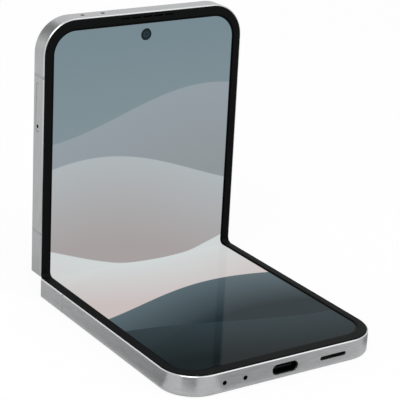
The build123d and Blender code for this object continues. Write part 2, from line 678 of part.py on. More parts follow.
cell_x = (MOTOR_SIDE_GAP - INNER_X, CELL_SIDE_X)
phone["lower_battery"] = on_lower([battery(cell_x, LOWER_CELL_END, CELL_LOWER)])
coil_x = (cell_x[0] + cell_x[1]) / 2
coil_y = (CELL_START + LOWER_CELL_END) / 2
coil_z = (WEB_Z - CELL_LOWER - COIL, WEB_Z - CELL_LOWER)
coil_radius = (LOWER_CELL_END - CELL_START) / 2 - COIL_END_GAP
coil = z_rod(coil_radius, coil_z, coil_x, coil_y)
coil -= z_rod(coil_radius - COIL_BAND, coil_z, coil_x, coil_y)
phone["wireless_charging_coil"] = on_lower([coil])

usb_y = (HALF_END - USB_RECESS - USB_DEPTH, HALF_END - USB_RECESS)
board_z = (BOARD_Z, BOARD_Z + BOARD)
sub_board = slab(SUB_BOARD_X, (SUB_BOARD_START, BOARD_END), board_z)
board_arm_y = (SUB_BOARD_START + SUB_BOARD_ARM[0], SUB_BOARD_START + SUB_BOARD_ARM[1])
sub_board += slab((-BOARD_SIDE_X, SUB_BOARD_X[0]), board_arm_y, board_z)
sub_board += slab((SUB_BOARD_CORNER_X, SUB_BOARD_X[0]), (board_arm_y[1], BOARD_END), board_z)
usb_notch = USB_SHELL_WIDTH / 2 + USB_BOARD_GAP
sub_board -= slab((-usb_notch, usb_notch), (usb_y[0] - USB_BOARD_GAP, INNER_END), board_z)
for place in lower_places:
    sub_board -= on_board(board_hole, place)
phone["sub_board"] = on_lower([sub_board])
board_screw = screw(BOARD_SCREW_LENGTH)
phone["board_screws_lower"] = on_lower([on_board(board_screw, place) for place in lower_places])

shell = end_slot(USB_SHELL_WIDTH, USB_SHELL_HEIGHT, usb_y, 0, PORT_Z)
hollow_y = (usb_y[0] + USB_SHELL_WALL, usb_y[1] + 1)
bore_width = USB_SHELL_WIDTH - 2 * USB_SHELL_WALL
bore_height = USB_SHELL_HEIGHT - 2 * USB_SHELL_WALL
shell -= end_slot(bore_width, bore_height, hollow_y, 0, PORT_Z)
tongue_x = (-TONGUE_WIDTH / 2, TONGUE_WIDTH / 2)
shell += slab(tongue_x, (usb_y[0], usb_y[1] - TONGUE_DROP), (PORT_Z - TONGUE / 2, PORT_Z + TONGUE / 2))
foot_start = USB_SHELL_WIDTH / 2 - USB_BOARD_GAP
foot_y = (usb_y[0] + TONGUE_DROP, usb_y[0] + TONGUE_DROP + USB_FOOT_LENGTH)
for side in (-1, 1):
    foot_x = sorted((side * foot_start, side * (foot_start + USB_FOOT_WIDTH)))
    shell += slab(foot_x, foot_y, (BOARD_Z - USB_FOOT, BOARD_Z))
phone["usb_c_receptacle"] = on_lower([shell])

half_mesh = SPEAKER_SLOT / 2 + MESH_LAP
mesh_y = (INNER_END - MESH, INNER_END)
mesh_z = (PORT_Z - MESH_HEIGHT / 2, PORT_Z + MESH_HEIGHT / 2)
phone["speaker_mesh"] = on_lower([slab((SPEAKER_X - half_mesh, SPEAKER_X + half_mesh), mesh_y, mesh_z)])
driver_z = (GLASS + SPEAKER_GLASS_GAP, WEB_Z)
driver_end = HALF_END - SPEAKER_BODY_END
driver_y = (driver_end - SPEAKER_BODY_LENGTH, driver_end)
driver = slab((SPEAKER_BODY_X, CELL_SIDE_X), driver_y, driver_z)
driver += slab((SPEAKER_BODY_X, INNER_X - SPEAKER_NOSE_INSET), (driver_end, mesh_y[0]), driver_z)
phone["loudspeaker"] = on_lower([fillet(driver.edges().filter_by(Axis.Z), CAN_CORNER)])
motor_x = MOTOR_INSET - INNER_X
motor_y = (SUB_BOARD_START + MOTOR_PLACE[0], SUB_BOARD_START + MOTOR_PLACE[1])
motor = slab((motor_x, motor_x + MOTOR_WIDTH), motor_y, (WEB_Z - MOTOR, WEB_Z))
phone["vibration_motor"] = on_lower([fillet(motor.edges().filter_by(Axis.X), MOTOR / 3)])
phone["bottom_microphones"] = on_lower([microphone(x, MIC_BODY, BOARD_END, BOARD_Z) for x in MIC_X])

# ---------------------------------------------------------------- upper half
upper_frame = half_frame(UPPER_ARM_X, 1)
upper_places = [(x, MAIN_BOARD_START + MAIN_BOARD_SCREW) for x in MAIN_BOARD_SCREW_X]
upper_places.append((LOBE_SCREW_X, MAIN_BOARD_END + MAIN_BOARD_SCREW))
for place in upper_places:
    upper_frame += board_boss(*place)
    upper_frame -= on_board(board_hole, place)
for x in MIC_X:
    upper_frame -= y_rod(MIC_RADIUS, wall_y, x, PORT_Z)
left_wall = (-HALF_WIDTH - 1, -INNER_X + 1)
right_wall = (INNER_X - 1, HALF_WIDTH + 1)
tray_middle = (TRAY_START + TRAY_END) / 2
tray_hole = (TRAY_LENGTH + 2 * TRAY_FIT, TRAY_HEIGHT + 2 * TRAY_FIT)
upper_frame -= side_slot(*tray_hole, left_wall, tray_middle, PORT_Z)
for length, y in ((POWER_KEY_LENGTH, POWER_KEY_Y), (VOLUME_KEY_LENGTH, VOLUME_KEY_Y)):
    upper_frame -= side_slot(length + 2 * KEY_FIT, KEY_HEIGHT + 2 * KEY_FIT, right_wall, y, PORT_Z)
upper_frame -= z_rod(FRONT_CAMERA_HOLE, (WEB_Z - 1, THICKNESS), 0, FRONT_CAMERA_Y)

earpiece_end = INNER_END - EARPIECE_GAP
earpiece_x = (EARPIECE_X, REAR_CAMERA_X[1] - CAMERA_RADIUS - EARPIECE_CAMERA_GAP)
mouth_x = (earpiece_x[0] + EARPIECE_MOUTH_INSET, earpiece_x[1] - EARPIECE_MOUTH_INSET)
mouth_y = (earpiece_end - EARPIECE_MOUTH, earpiece_end)
slot_y = HALF_END - RIM_LIP - EARPIECE_SLOT_INSET
slots_reach = ((EARPIECE_SLOTS - 1) * EARPIECE_SLOT_PITCH + EARPIECE_SLOT) / 2
duct_y = (mouth_y[0], slot_y + EARPIECE_SLOT_WIDTH / 2)
upper_frame -= slab(mouth_x, mouth_y, (WEB_Z - 1, SEAT_Z))
upper_frame -= slab((-slots_reach, slots_reach), duct_y, (SEAT_Z - EARPIECE_DUCT, SEAT_Z))

upper_bands = [antenna_band(side, y) for y in UPPER_BANDS_Y for side in (-1, 1)]
phone["antenna_breaks_upper"] = on_upper([upper_frame & band for band in upper_bands])
for band in upper_bands:
    upper_frame -= band
phone["upper_frame"] = on_upper([upper_frame])

cover_glass = back_glass
for x in REAR_CAMERA_X:
    cover_glass -= z_rod(RING_BORE, (-1, GLASS + 1), x, REAR_CAMERA_Y)
cover_glass -= z_rod(FLASH_RADIUS + GLASS_FIT, (-1, GLASS + 1), FLASH_X, REAR_CAMERA_Y)
phone["cover_glass"] = on_upper([cover_glass])

upper_bezel = bezel(BEZEL_END_EXTRA_UPPER)
for i in range(EARPIECE_SLOTS):
    slot_x = (i - (EARPIECE_SLOTS - 1) / 2) * EARPIECE_SLOT_PITCH
    slot = Pos(slot_x, slot_y, SEAT_Z) * SlotOverall(EARPIECE_SLOT, EARPIECE_SLOT_WIDTH)
    upper_bezel -= extrude(slot, THICKNESS - SEAT_Z)
phone["upper_bezel"] = on_upper([upper_bezel])

punch_hole = z_rod(FRONT_CAMERA_HOLE, (0, THICKNESS), 0, FRONT_CAMERA_Y)
phone["display_upper"] = on_upper([panel - punch_hole])
phone["display_support_upper"] = on_upper([support - punch_hole])

cover_panel_x = (COVER_PANEL_INSET - INNER_X, INNER_X - COVER_PANEL_INSET)
cover_panel = slab(cover_panel_x, (CELL_START, MAIN_BOARD_END), (GLASS, GLASS + COVER_PANEL))
cover_panel = fillet(cover_panel.edges().filter_by(Axis.Z), COVER_PANEL_CORNER)
phone["cover_display_panel"] = on_upper([cover_panel])
upper_cell_x = (-CELL_SIDE_X, CELL_SIDE_X)
phone["upper_battery"] = on_upper([battery(upper_cell_x, UPPER_CELL_END, CELL_UPPER)])

switch_x = INNER_X - VOLUME_KEY_FREE - KEY_FLANGE - VOLUME_SWITCH_GAP
main_board_y = (MAIN_BOARD_START, MAIN_BOARD_END)
main_board = slab((-BOARD_SIDE_X, switch_x - 2 * SWITCH_PLATE), main_board_y, board_z)
lobe_x = (MAIN_BOARD_LOBE_INSET - INNER_X, MAIN_BOARD_LOBE_X)
lobe = slab(lobe_x, (MAIN_BOARD_END, MAIN_BOARD_END + MAIN_BOARD_LOBE), board_z)
lobe_corner = lobe.edges().filter_by(Axis.Z).group_by(Axis.Y)[-1].sort_by(Axis.X)[0]
main_board += fillet(lobe_corner, MAIN_BOARD_LOBE_CORNER)
for place in upper_places:
    main_board -= on_board(board_hole, place)
phone["main_board"] = on_upper([main_board])
phone["board_screws_upper"] = on_upper([on_board(board_screw, place) for place in upper_places])

chip_y = (MAIN_BOARD_START + CAN_START, MAIN_BOARD_END - CAN_END)
can_places = [(can_x, chip_y) for can_x in CAN_X]
lobe_can_y = (MAIN_BOARD_END + LOBE_CAN[0], MAIN_BOARD_END + LOBE_CAN[1])
can_places.append(((LOBE_CAN_INSET - INNER_X, LOBE_CAN_X), lobe_can_y))
cans = []
for can_x, can_y in can_places:
    can = slab(can_x, can_y, (BOARD_Z - CAN, BOARD_Z))
    can = fillet(can.edges().filter_by(Axis.Z), CAN_CORNER)
    inside_x = (can_x[0] + CAN_WALL, can_x[1] - CAN_WALL)
    inside_y = (can_y[0] + CAN_WALL, can_y[1] - CAN_WALL)
    cans.append(can - slab(inside_x, inside_y, (BOARD_Z - CAN + CAN_WALL, BOARD_Z)))
phone["shield_cans"] = on_upper(cans)

half_camera = FRONT_CAMERA_BODY / 2
camera_y = (FRONT_CAMERA_Y - half_camera, FRONT_CAMERA_Y + half_camera)
camera = slab((-half_camera, half_camera), camera_y, (WEB_Z - FRONT_CAMERA_DEPTH, WEB_Z))
camera = fillet(camera.edges().filter_by(Axis.Z), CAN_CORNER)
camera += z_rod(FRONT_CAMERA_RADIUS, (WEB_Z, DISPLAY_Z - LENS_FIT), 0, FRONT_CAMERA_Y)
phone["front_camera"] = on_upper([camera])

earpiece_y = (earpiece_end - EARPIECE_DEPTH, earpiece_end)
earpiece = slab(earpiece_x, earpiece_y, (WEB_Z - EARPIECE, WEB_Z))
phone["earpiece_speaker"] = on_upper([fillet(earpiece.edges().filter_by(Axis.Z), CAN_CORNER)])

modules = []
rings = []
lenses = []
lens_z = (LENS_SINK - RING_RISE, LENS_SINK - RING_RISE + LENS_GLASS)
camera_z = GLASS + CAMERA_GAP
for x in REAR_CAMERA_X:
    module = z_rod(CAMERA_RADIUS, (camera_z, WEB_Z), x, REAR_CAMERA_Y)
    nose_z = lens_z[1] + RING_LEDGE - CAMERA_GAP
    modules.append(module + z_rod(CAMERA_NOSE, (nose_z, camera_z), x, REAR_CAMERA_Y))
    ring = z_rod(RING_RADIUS, (-RING_RISE, 0), x, REAR_CAMERA_Y)
    ring = fillet(ring.faces().sort_by(Axis.Z)[0].edges(), RING_ROUND)
    ring -= z_rod(RING_BORE, (-RING_RISE - 1, lens_z[1]), x, REAR_CAMERA_Y)
    ring -= z_rod(RING_BORE - RING_LEDGE, (-RING_RISE, 1), x, REAR_CAMERA_Y)
    rings.append(ring)
    lenses.append(z_rod(RING_BORE - LENS_FIT, lens_z, x, REAR_CAMERA_Y))
phone["rear_camera_modules"] = on_upper(modules)
phone["camera_rings"] = on_upper(rings)
phone["camera_lens_glass"] = on_upper(lenses)
flash = z_rod(FLASH_RADIUS, (0, GLASS), FLASH_X, REAR_CAMERA_Y)
flash_y = (REAR_CAMERA_Y - FLASH_BODY / 2, REAR_CAMERA_Y + FLASH_BODY / 2)
flash += slab((FLASH_X - FLASH_BODY / 2, FLASH_X + FLASH_BODY / 2), flash_y, (GLASS, GLASS + FLASH_DEPTH))
phone["flash"] = on_upper([flash])

top_mic_z = PORT_Z + TOP_MIC_BODY[2] / 2
phone["top_microphones"] = on_upper([microphone(x, TOP_MIC_BODY, INNER_END, top_mic_z) for x in MIC_X])

tray_plate_z = (PORT_Z - TRAY_PLATE / 2, PORT_Z + TRAY_PLATE / 2)
tray_head_x = (-HALF_WIDTH, -HALF_WIDTH + TRAY_HEAD)
tray = side_slot(TRAY_LENGTH, TRAY_HEIGHT, tray_head_x, tray_middle, PORT_Z)
tray = fillet(tray.faces().sort_by(Axis.X)[0].edges(), KEY_EDGE)
tray_plate_x = (tray_head_x[1] - TRAY_FIT, tray_head_x[1] + TRAY_PLATE_LENGTH)
tray += slab(tray_plate_x, (TRAY_PLATE_START, TRAY_PLATE_END), tray_plate_z)
card_middle = (TRAY_PLATE_START + TRAY_PLATE_END) / 2
card_x = (tray_plate_x[1] - TRAY_RIM - CARD_LENGTH, tray_plate_x[1] - TRAY_RIM)
card_y = (card_middle - CARD_WIDTH / 2, card_middle + CARD_WIDTH / 2)
tray -= slab(card_x, card_y, (PORT_Z - TRAY_PLATE / 4, PORT_Z + TRAY_PLATE))
window_x = (card_x[0] + CARD_LEDGE, card_x[1] - CARD_LEDGE)
window_y = (card_y[0] + CARD_LEDGE, card_y[1] - CARD_LEDGE)
tray -= slab(window_x, window_y, (PORT_Z - TRAY_PLATE, PORT_Z))
tray -= x_rod(EJECT_RADIUS, (-HALF_WIDTH - 1, -INNER_X + 1), EJECT_Y, PORT_Z)
phone["sim_tray"] = on_upper([tray])

reader_x = (READER_WALL / 2 - INNER_X, tray_plate_x[1] + READER_WALL)
reader_y = (TRAY_PLATE_START - READER_WALL, TRAY_PLATE_END + READER_WALL)
reader = slab(reader_x, reader_y, (tray_plate_z[0] - READER_FLOOR, BOARD_Z))
channel_y = (TRAY_PLATE_START - READER_FIT, TRAY_PLATE_END + READER_FIT)
channel_z = (tray_plate_z[0] - READER_FIT, tray_plate_z[1] + READER_FIT)
reader -= slab((reader_x[0] - 1, tray_plate_x[1] + READER_FIT), channel_y, channel_z)
phone["sim_reader"] = on_upper([reader])

power_key = side_key(POWER_KEY_LENGTH, POWER_KEY_Y, POWER_KEY_PROUD, POWER_KEY_FREE)
phone["power_key"] = on_upper([power_key])
volume_key = side_key(VOLUME_KEY_LENGTH, VOLUME_KEY_Y, VOLUME_KEY_PROUD, VOLUME_KEY_FREE)
fulcrum_radius = KEY_FLANGE / 2 + VOLUME_SWITCH_GAP * 3 / 4
fulcrum_x = INNER_X - VOLUME_KEY_FREE - KEY_FLANGE / 2
fulcrum_z = (PORT_Z - KEY_HEIGHT / 2, PORT_Z + KEY_HEIGHT / 2)
volume_key += z_rod(fulcrum_radius, fulcrum_z, fulcrum_x, VOLUME_KEY_Y)
phone["volume_key"] = on_upper([volume_key])
switch_y = (POWER_KEY_Y - POWER_KEY_LENGTH / 2, VOLUME_KEY_Y + VOLUME_KEY_LENGTH / 2)
switches = slab((switch_x - SWITCH_PLATE, switch_x), switch_y, (PORT_Z - SWITCH_DROP, WEB_Z))
power_dome_x = (switch_x - DOME_SEAT, INNER_X - POWER_KEY_FREE - KEY_FLANGE - POWER_SWITCH_GAP)
switches += x_rod(SWITCH_RADIUS, power_dome_x, POWER_KEY_Y, PORT_Z)
for side in (-1, 1):
    y = VOLUME_KEY_Y + side * VOLUME_SWITCH_SPREAD
    volume_dome_x = (switch_x - DOME_SEAT, switch_x + VOLUME_SWITCH_GAP / 4)
    switches += x_rod(SWITCH_RADIUS, volume_dome_x, y, PORT_Z)
phone["key_switches"] = on_upper([switches])

# ---------------------------------------------------------------- hinge arms
lower_arms = [hinge_arm(side * LOWER_ARM_X) for side in (-1, 1)]
upper_arms = [hinge_arm(side * UPPER_ARM_X) for side in (-1, 1)]
phone["hinge_arms_lower"] = on_lower(lower_arms)
phone["hinge_arms_upper"] = on_upper(upper_arms)
arm_seat = ARM_Z + ARM_PLATE / 2
sector_seat = SECTOR_PLATE_Z + SECTOR_PLATE / 2
lower_screws = arm_screws(-LOWER_ARM_X, ARM_SCREW_SPREAD, arm_seat)
lower_screws += arm_screws(LOWER_ARM_X, ARM_SCREW_SPREAD, arm_seat)
lower_screws += arm_screws(-SECTOR_MIDDLE, SECTOR_SCREW_SPREAD, sector_seat)
phone["hinge_screws_lower"] = on_lower(lower_screws)
upper_screws = arm_screws(-UPPER_ARM_X, ARM_SCREW_SPREAD, arm_seat)
upper_screws += arm_screws(UPPER_ARM_X, ARM_SCREW_SPREAD, arm_seat)
upper_screws += arm_screws(SECTOR_MIDDLE, SECTOR_SCREW_SPREAD, sector_seat)
phone["hinge_screws_upper"] = on_upper(upper_screws)

# ---------------------------------------------------------------- synchronising gear train
lower_contact = 180 - SECTOR_CONTACT
first_teeth = [meshing_tooth(SECTOR_TEETH, lower_contact, lower_contact, GEAR_TEETH)]
for place in range(3):
    first_teeth.append(meshing_tooth(GEAR_TEETH, first_teeth[place], 0, GEAR_TEETH))
upper_tooth = meshing_tooth(GEAR_TEETH, first_teeth[3], SECTOR_CONTACT + 180, SECTOR_TEETH)
phone["sync_sector_lower"] = on_lower([sync_sector(SECTOR_CONTACT, -1)])
phone["sync_sector_upper"] = on_upper([sync_sector(upper_tooth, 1)])

half_gear = GEAR_WIDTH / 2 - GEAR_SIDE_GAP
long_gear = SECTOR_START + GEAR_WIDTH - GEAR_SIDE_GAP
short_range = (-half_gear, half_gear)
gear_ranges = [(-long_gear, half_gear), short_range, short_range, (-half_gear, long_gear)]
gear_turn = REST_FOLD / 2 * SECTOR_TEETH / GEAR_TEETH
for place in range(4):
    turned = first_teeth[place] + gear_turn * (-1) ** place
    gear = gear_disc(GEAR_TEETH, turned, gear_ranges[place], GEAR_Y[place], GEAR_Z)
    gear -= x_rod(GEAR_PIN_RADIUS + GEAR_BORE_GAP, gear_ranges[place], GEAR_Y[place], GEAR_Z)
    phone[f"sync_gear_{place + 1}"] = on_spine([gear])

block_half = SECTOR_END + GEAR_WALL
short_pin = (-SECTOR_START, SECTOR_START)
pin_ranges = [(-block_half, SECTOR_START), short_pin, short_pin, (-SECTOR_START, block_half)]
pins = [x_rod(GEAR_PIN_RADIUS, pin_ranges[place], GEAR_Y[place], GEAR_Z) for place in range(4)]
phone["gear_pins"] = on_spine(pins)

gear_block = spine_body(SPINE_WALL + SEAT_GAP, SPINE_TOP, (-block_half, block_half))
feet_x = (-block_half - GEAR_FOOT, block_half + GEAR_FOOT)
gear_block += spine_body(SPINE_WALL + SEAT_GAP, DISPLAY_Z - GEAR_FOOT_DEPTH, feet_x)
gear_block &= slab(feet_x, (-GEAR_BLOCK_HALF, GEAR_BLOCK_HALF), (0, SPINE_TOP))
cavity = GEAR_OUTER_RADIUS + GEAR_CAVITY_GAP
for place in range(4):
    cut_x = (gear_ranges[place][0] - GEAR_SIDE_GAP, gear_ranges[place][1] + GEAR_SIDE_GAP)
    gear_block -= x_rod(cavity, cut_x, GEAR_Y[place], GEAR_Z)
    gear_block -= x_rod(GEAR_PIN_RADIUS + SEAT_GAP, pin_ranges[place], GEAR_Y[place], GEAR_Z)
middle_x = (-GEAR_WIDTH / 2, GEAR_WIDTH / 2)
gear_block -= slab(middle_x, (-2 * GEAR_SPACING, 2 * GEAR_SPACING), (GEAR_Z, THICKNESS))
for side in (-1, 1):
    sector_x = sorted((side * SECTOR_START, side * SECTOR_END))
    gear_block -= x_rod(SECTOR_OUTER_RADIUS + GEAR_CAVITY_GAP, sector_x, side * AXIS_OFFSET, DISPLAY_Z)
    arm_y = sorted((side * AXIS_OFFSET, side * 2 * GEAR_BLOCK_HALF))
    gear_block -= slab(sector_x, arm_y, (GEAR_Z, THICKNESS))
    washer_x = sorted((side * (SECTOR_START + GEAR_WIDTH), side * SECTOR_END))
    gear_block -= x_rod(WASHER_RADIUS + SEAT_GAP, washer_x, GEAR_Y[0] * -side, GEAR_Z)

washers = []
washer_width = (SECTOR_ARM_WIDTH - GEAR_SIDE_GAP) / WASHERS_PER_PIN
for side in (-1, 1):
    for place in range(WASHERS_PER_PIN):
        start = SECTOR_END - place * washer_width
        ring_x = sorted((side * start, side * (start - washer_width + GEAR_SIDE_GAP)))
        y = side * GEAR_Y[3]
        washer = x_rod(WASHER_RADIUS, ring_x, y, GEAR_Z)
        washers.append(washer - x_rod(GEAR_PIN_RADIUS + GEAR_BORE_GAP, ring_x, y, GEAR_Z))
phone["friction_washers"] = on_spine(washers)

# ---------------------------------------------------------------- spine
screw_seat = DISPLAY_Z - SPINE_SCREW_TIP + SPINE_SCREW_LENGTH
foot_screw_x = block_half + GEAR_FOOT / 2
foot_seat = DISPLAY_Z - GEAR_FOOT_DEPTH
foot_screw_length = SPINE_SCREW_TIP - GEAR_FOOT_DEPTH
block_screws = ((SPINE_SCREW_X, -SPINE_SCREW_Y), (SPINE_SCREW_X, SPINE_SCREW_Y))

block_end = SPINE_HALF - END_CAP - SEAT_GAP
hinge_blocks = []
for side in (-1, 1):
    block_x = sorted((side * HINGE_BLOCK_START, side * block_end))
    block = spine_body(SPINE_WALL + SEAT_GAP, SPINE_TOP, block_x)
    block &= slab(block_x, (-HINGE_BLOCK_HALF, HINGE_BLOCK_HALF), (0, SPINE_TOP))
    for toward, arm_x in ((-1, LOWER_ARM_X), (1, UPPER_ARM_X)):
        low, high = arm_range(side * arm_x)
        cut_x = (low - ARM_SIDE_GAP, high + ARM_SIDE_GAP)
        groove = rail_ring(RAIL_CLEARANCE, cut_x)
        sweep_y = (AXIS_OFFSET + RAIL_IN / 2, 2 * HINGE_BLOCK_HALF)
        sweep = slab(cut_x, sweep_y, (ARM_Z - ARM_SIDE_GAP, THICKNESS))
        sweep -= x_rod(RAIL_IN - RAIL_CLEARANCE, cut_x, AXIS_OFFSET, DISPLAY_Z)
        cutter = groove + sweep
        if toward < 0:
            cutter = mirror(cutter, about=Plane.XZ)
        block -= cutter
    for x, y in block_screws:
        place = Pos(side * x, y, screw_seat)
        block -= place * screw_hole(SPINE_SCREW_LENGTH)
        block -= place * z_rod(SCREW_HEAD_RADIUS + SCREW_GAP, (0, SPINE_DEPTH), 0, 0)
    hinge_blocks.append(block)
phone["hinge_blocks"] = on_spine(hinge_blocks)

spine_screws = []
spine_cover = spine_body(0, SPINE_TOP, (-SPINE_HALF, SPINE_HALF))
spine_cover -= spine_body(SPINE_WALL, SPINE_TOP + 1, (-SPINE_HALF, SPINE_HALF))
for side in (-1, 1):
    for x, y in block_screws:
        place = Pos(side * x, y, screw_seat)
        spine_screws.append(place * screw(SPINE_SCREW_LENGTH))
        spine_cover -= place * screw_hole(SPINE_SCREW_LENGTH)
    place = Pos(side * foot_screw_x, 0, foot_seat)
    spine_screws.append(place * screw(foot_screw_length))
    spine_cover -= place * screw_hole(foot_screw_length)
    gear_block -= place * screw_hole(foot_screw_length)
    for toward, arm_x in ((-1, LOWER_ARM_X), (1, UPPER_ARM_X)):
        low, high = arm_range(side * arm_x)
        notch_x = (low - ARM_SIDE_GAP, high + ARM_SIDE_GAP)
        notch_y = sorted((toward * HINGE_BLOCK_HALF, toward * 2 * SPINE_RADIUS))
        spine_cover -= slab(notch_x, notch_y, (ARM_Z - ARM_SIDE_GAP, THICKNESS))
    notch_x = sorted((side * (SECTOR_START + GEAR_WIDTH - GEAR_SIDE_GAP), side * SECTOR_END))
    notch_y = sorted((side * GEAR_BLOCK_HALF, side * 2 * SPINE_RADIUS))
    spine_cover -= slab(notch_x, notch_y, (SECTOR_PLATE_Z - ARM_SIDE_GAP, THICKNESS))
phone["gear_block"] = on_spine([gear_block])
phone["spine_cover"] = on_spine([spine_cover])
phone["spine_screws"] = on_spine(spine_screws)
caps = [spine_body(SPINE_WALL + SEAT_GAP, SPINE_TOP, (-SPINE_HALF, END_CAP - SPINE_HALF))]
caps.append(spine_body(SPINE_WALL + SEAT_GAP, SPINE_TOP, (SPINE_HALF - END_CAP, SPINE_HALF)))
phone["spine_end_caps"] = on_spine(caps)


# ---------------------------------------------------------------- pieces that bend across the fold
def fold_arc(x_range, low, high):
    """A strip bent round the fold, between two heights above the display's surface."""
    centre_z = FOLD_RADIUS / cos(HALF_FOLD) - AXIS_OFFSET * tan(HALF_FOLD)
    reach = FOLD_RADIUS * 2
    ring = Circle(FOLD_RADIUS - low) - Circle(FOLD_RADIUS - high)
    side = reach * tan(HALF_FOLD)
    wedge = make_face(Polyline((0, 0), (-side, -reach), (side, -reach), close=True))
    strip = Plane.YZ * Pos(0, DISPLAY_Z + centre_z) * (ring & wedge)
    return Pos(x_range[0], 0, 0) * extrude(strip, x_range[1] - x_range[0])


panel_x = HALF_WIDTH - BEZEL_INSET - DISPLAY_FIT
phone["display_fold"] = on_spine([fold_arc((-panel_x, panel_x), -DISPLAY, 0)])
gaskets = []
for side in (-1, 1):
    outer_x = side * (HALF_WIDTH - RIM_LIP)
    wall_x = sorted((side * (HALF_WIDTH - BEZEL_INSET), outer_x))
    lip_x = sorted((side * (HALF_WIDTH - BEZEL_INSET - BEZEL_LIP), outer_x))
    gasket = fold_arc(lip_x, GASKET_LIP_GAP, BEZEL_RISE)
    gaskets.append(gasket + fold_arc(wall_x, -DISPLAY, BEZEL_RISE))
phone["fold_gaskets"] = on_spine(gaskets)


def flex_point(side, along):
    """A point on the flex cable's middle plane, on one half at the rest fold."""
    depth = FLEX_DEPTH - FLEX / 2
    y = AXIS_OFFSET + (along - AXIS_OFFSET) * cos(HALF_FOLD) + depth * sin(HALF_FOLD)
    z = (along - AXIS_OFFSET) * sin(HALF_FOLD) - depth * cos(HALF_FOLD)
    return (side * y, z)


flex_low = -(AXIS_OFFSET * tan(HALF_FOLD) + (FLEX_DEPTH - FLEX / 2) / cos(HALF_FOLD))
flex_points = (flex_point(-1, FLEX_END), (0, flex_low), flex_point(1, FLEX_END))
flex_path = FilletPolyline(*flex_points, radius=FLEX_BEND)
flex_strip = Plane.YZ * Pos(0, DISPLAY_Z) * trace(flex_path, FLEX)
flex = Pos(FLEX_X - FLEX_WIDTH / 2, 0, 0) * extrude(flex_strip, FLEX_WIDTH)
phone["hinge_flex_cable"] = on_spine([flex])

# ---------------------------------------------------------------- writing
os.makedirs("parts", exist_ok=True)
for name, pieces in phone.items():
    solids = [solid for piece in pieces for solid in piece.solids()]
    shape = solids[0] if len(solids) == 1 else Compound(children=solids)
    export_step(shape, f"parts/{name}.step")
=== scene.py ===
import math

import bmesh
import bpy
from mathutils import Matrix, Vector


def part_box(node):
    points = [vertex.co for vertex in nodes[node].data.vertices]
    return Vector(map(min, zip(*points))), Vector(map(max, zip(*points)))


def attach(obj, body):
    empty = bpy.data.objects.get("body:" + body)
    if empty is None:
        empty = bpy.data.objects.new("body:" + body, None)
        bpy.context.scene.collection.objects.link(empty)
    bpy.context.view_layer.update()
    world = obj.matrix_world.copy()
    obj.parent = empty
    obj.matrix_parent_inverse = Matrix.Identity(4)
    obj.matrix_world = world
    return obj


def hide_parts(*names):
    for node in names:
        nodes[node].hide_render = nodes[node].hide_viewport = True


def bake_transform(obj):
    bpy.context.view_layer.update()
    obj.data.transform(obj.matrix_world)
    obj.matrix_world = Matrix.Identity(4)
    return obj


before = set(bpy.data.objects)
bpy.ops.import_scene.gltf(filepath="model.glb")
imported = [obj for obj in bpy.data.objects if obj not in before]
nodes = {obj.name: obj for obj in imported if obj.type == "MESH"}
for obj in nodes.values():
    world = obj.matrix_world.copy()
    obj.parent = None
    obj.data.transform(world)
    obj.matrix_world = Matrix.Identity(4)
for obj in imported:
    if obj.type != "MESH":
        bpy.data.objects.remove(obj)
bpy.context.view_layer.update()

# ---------------------------------------------------------------- aluminium frames
# Each half is one machined aluminium tray whose outer band forms the visible sides. The band is
# brushed along its length with a fine abrasive and anodised in its natural silver. Its edge along
# the rim is painted a little brighter and is glossier, a painted highlight, and its pin holes and a
# thin ring round each are painted near black, a painted shade.
MM = 0.001


def linear(hex_colour):
    """The linear RGBA of an sRGB hex colour."""
    channels = [int(hex_colour[place:place + 2], 16) / 255 for place in (0, 2, 4)]
    toned = [c / 12.92 if c <= 0.04045 else ((c + 0.055) / 1.055) ** 2.4 for c in channels]
    return (*toned, 1.0)


def start_material(name, surface):
    """A material whose Principled shader has its constant values on its own sockets."""
    material = bpy.data.materials.new(name)
    material.use_nodes = True
    shader = material.node_tree.nodes["Principled BSDF"]
    for socket, value in surface.items():
        shader.inputs[socket].default_value = value
    return material, shader


def add_node(material, kind, settings=None, links=None):
    """Adds one shader node: settings fill its properties and sockets, links feed its sockets."""
    node = material.node_tree.nodes.new(kind)
    for name, value in (settings or {}).items():
        if isinstance(name, int) or name in node.inputs:
            node.inputs[name].default_value = value
        else:
            setattr(node, name, value)
    for name, source in (links or {}).items():
        material.node_tree.links.new(source, node.inputs[name])
    return node


def join_sockets(material, source, target):
    """Feeds one socket from another."""
    material.node_tree.links.new(source, target)


def finish_nodes(material, *names):
    """Gives CAD nodes one material all over."""
    for name in names:
        mesh = nodes[name].data
        mesh.materials.clear()
        mesh.materials.append(material)


def past_height(material, place, axis, start, end):
    """A mask that runs from nothing to one between two heights along one axis."""
    split = add_node(material, "ShaderNodeSeparateXYZ", links={"Vector": place.outputs["Object"]})
    mask = add_node(
        material,
        "ShaderNodeMapRange",
        {"From Min": start * MM, "From Max": end * MM},
        {"Value": split.outputs[axis]},
    )
    return mask.outputs["Result"]


def in_bore(material, place, mouth, radius, squeeze):
    """Mask of a bore's painted shade, on its wall and round its mouth, drawn in along its axis."""
    offset = add_node(
        material,
        "ShaderNodeVectorMath",
        {"operation": "SUBTRACT", 1: [value * MM for value in mouth]},
        {0: place.outputs["Object"]},
    )
    squeezed = add_node(
        material,
        "ShaderNodeVectorMath",
        {"operation": "MULTIPLY", 1: squeeze},
        {0: offset.outputs[0]},
    )
    distance = add_node(material, "ShaderNodeVectorMath", {"operation": "LENGTH"}, {0: squeezed.outputs[0]})
    reach = radius + BORE_MARGIN_MM
    mask = add_node(
        material,
        "ShaderNodeMapRange",
        {"From Min": (reach + BORE_BLUR_MM) * MM, "From Max": reach * MM},
        {"Value": distance.outputs["Value"]},
    )
    return mask.outputs["Result"]


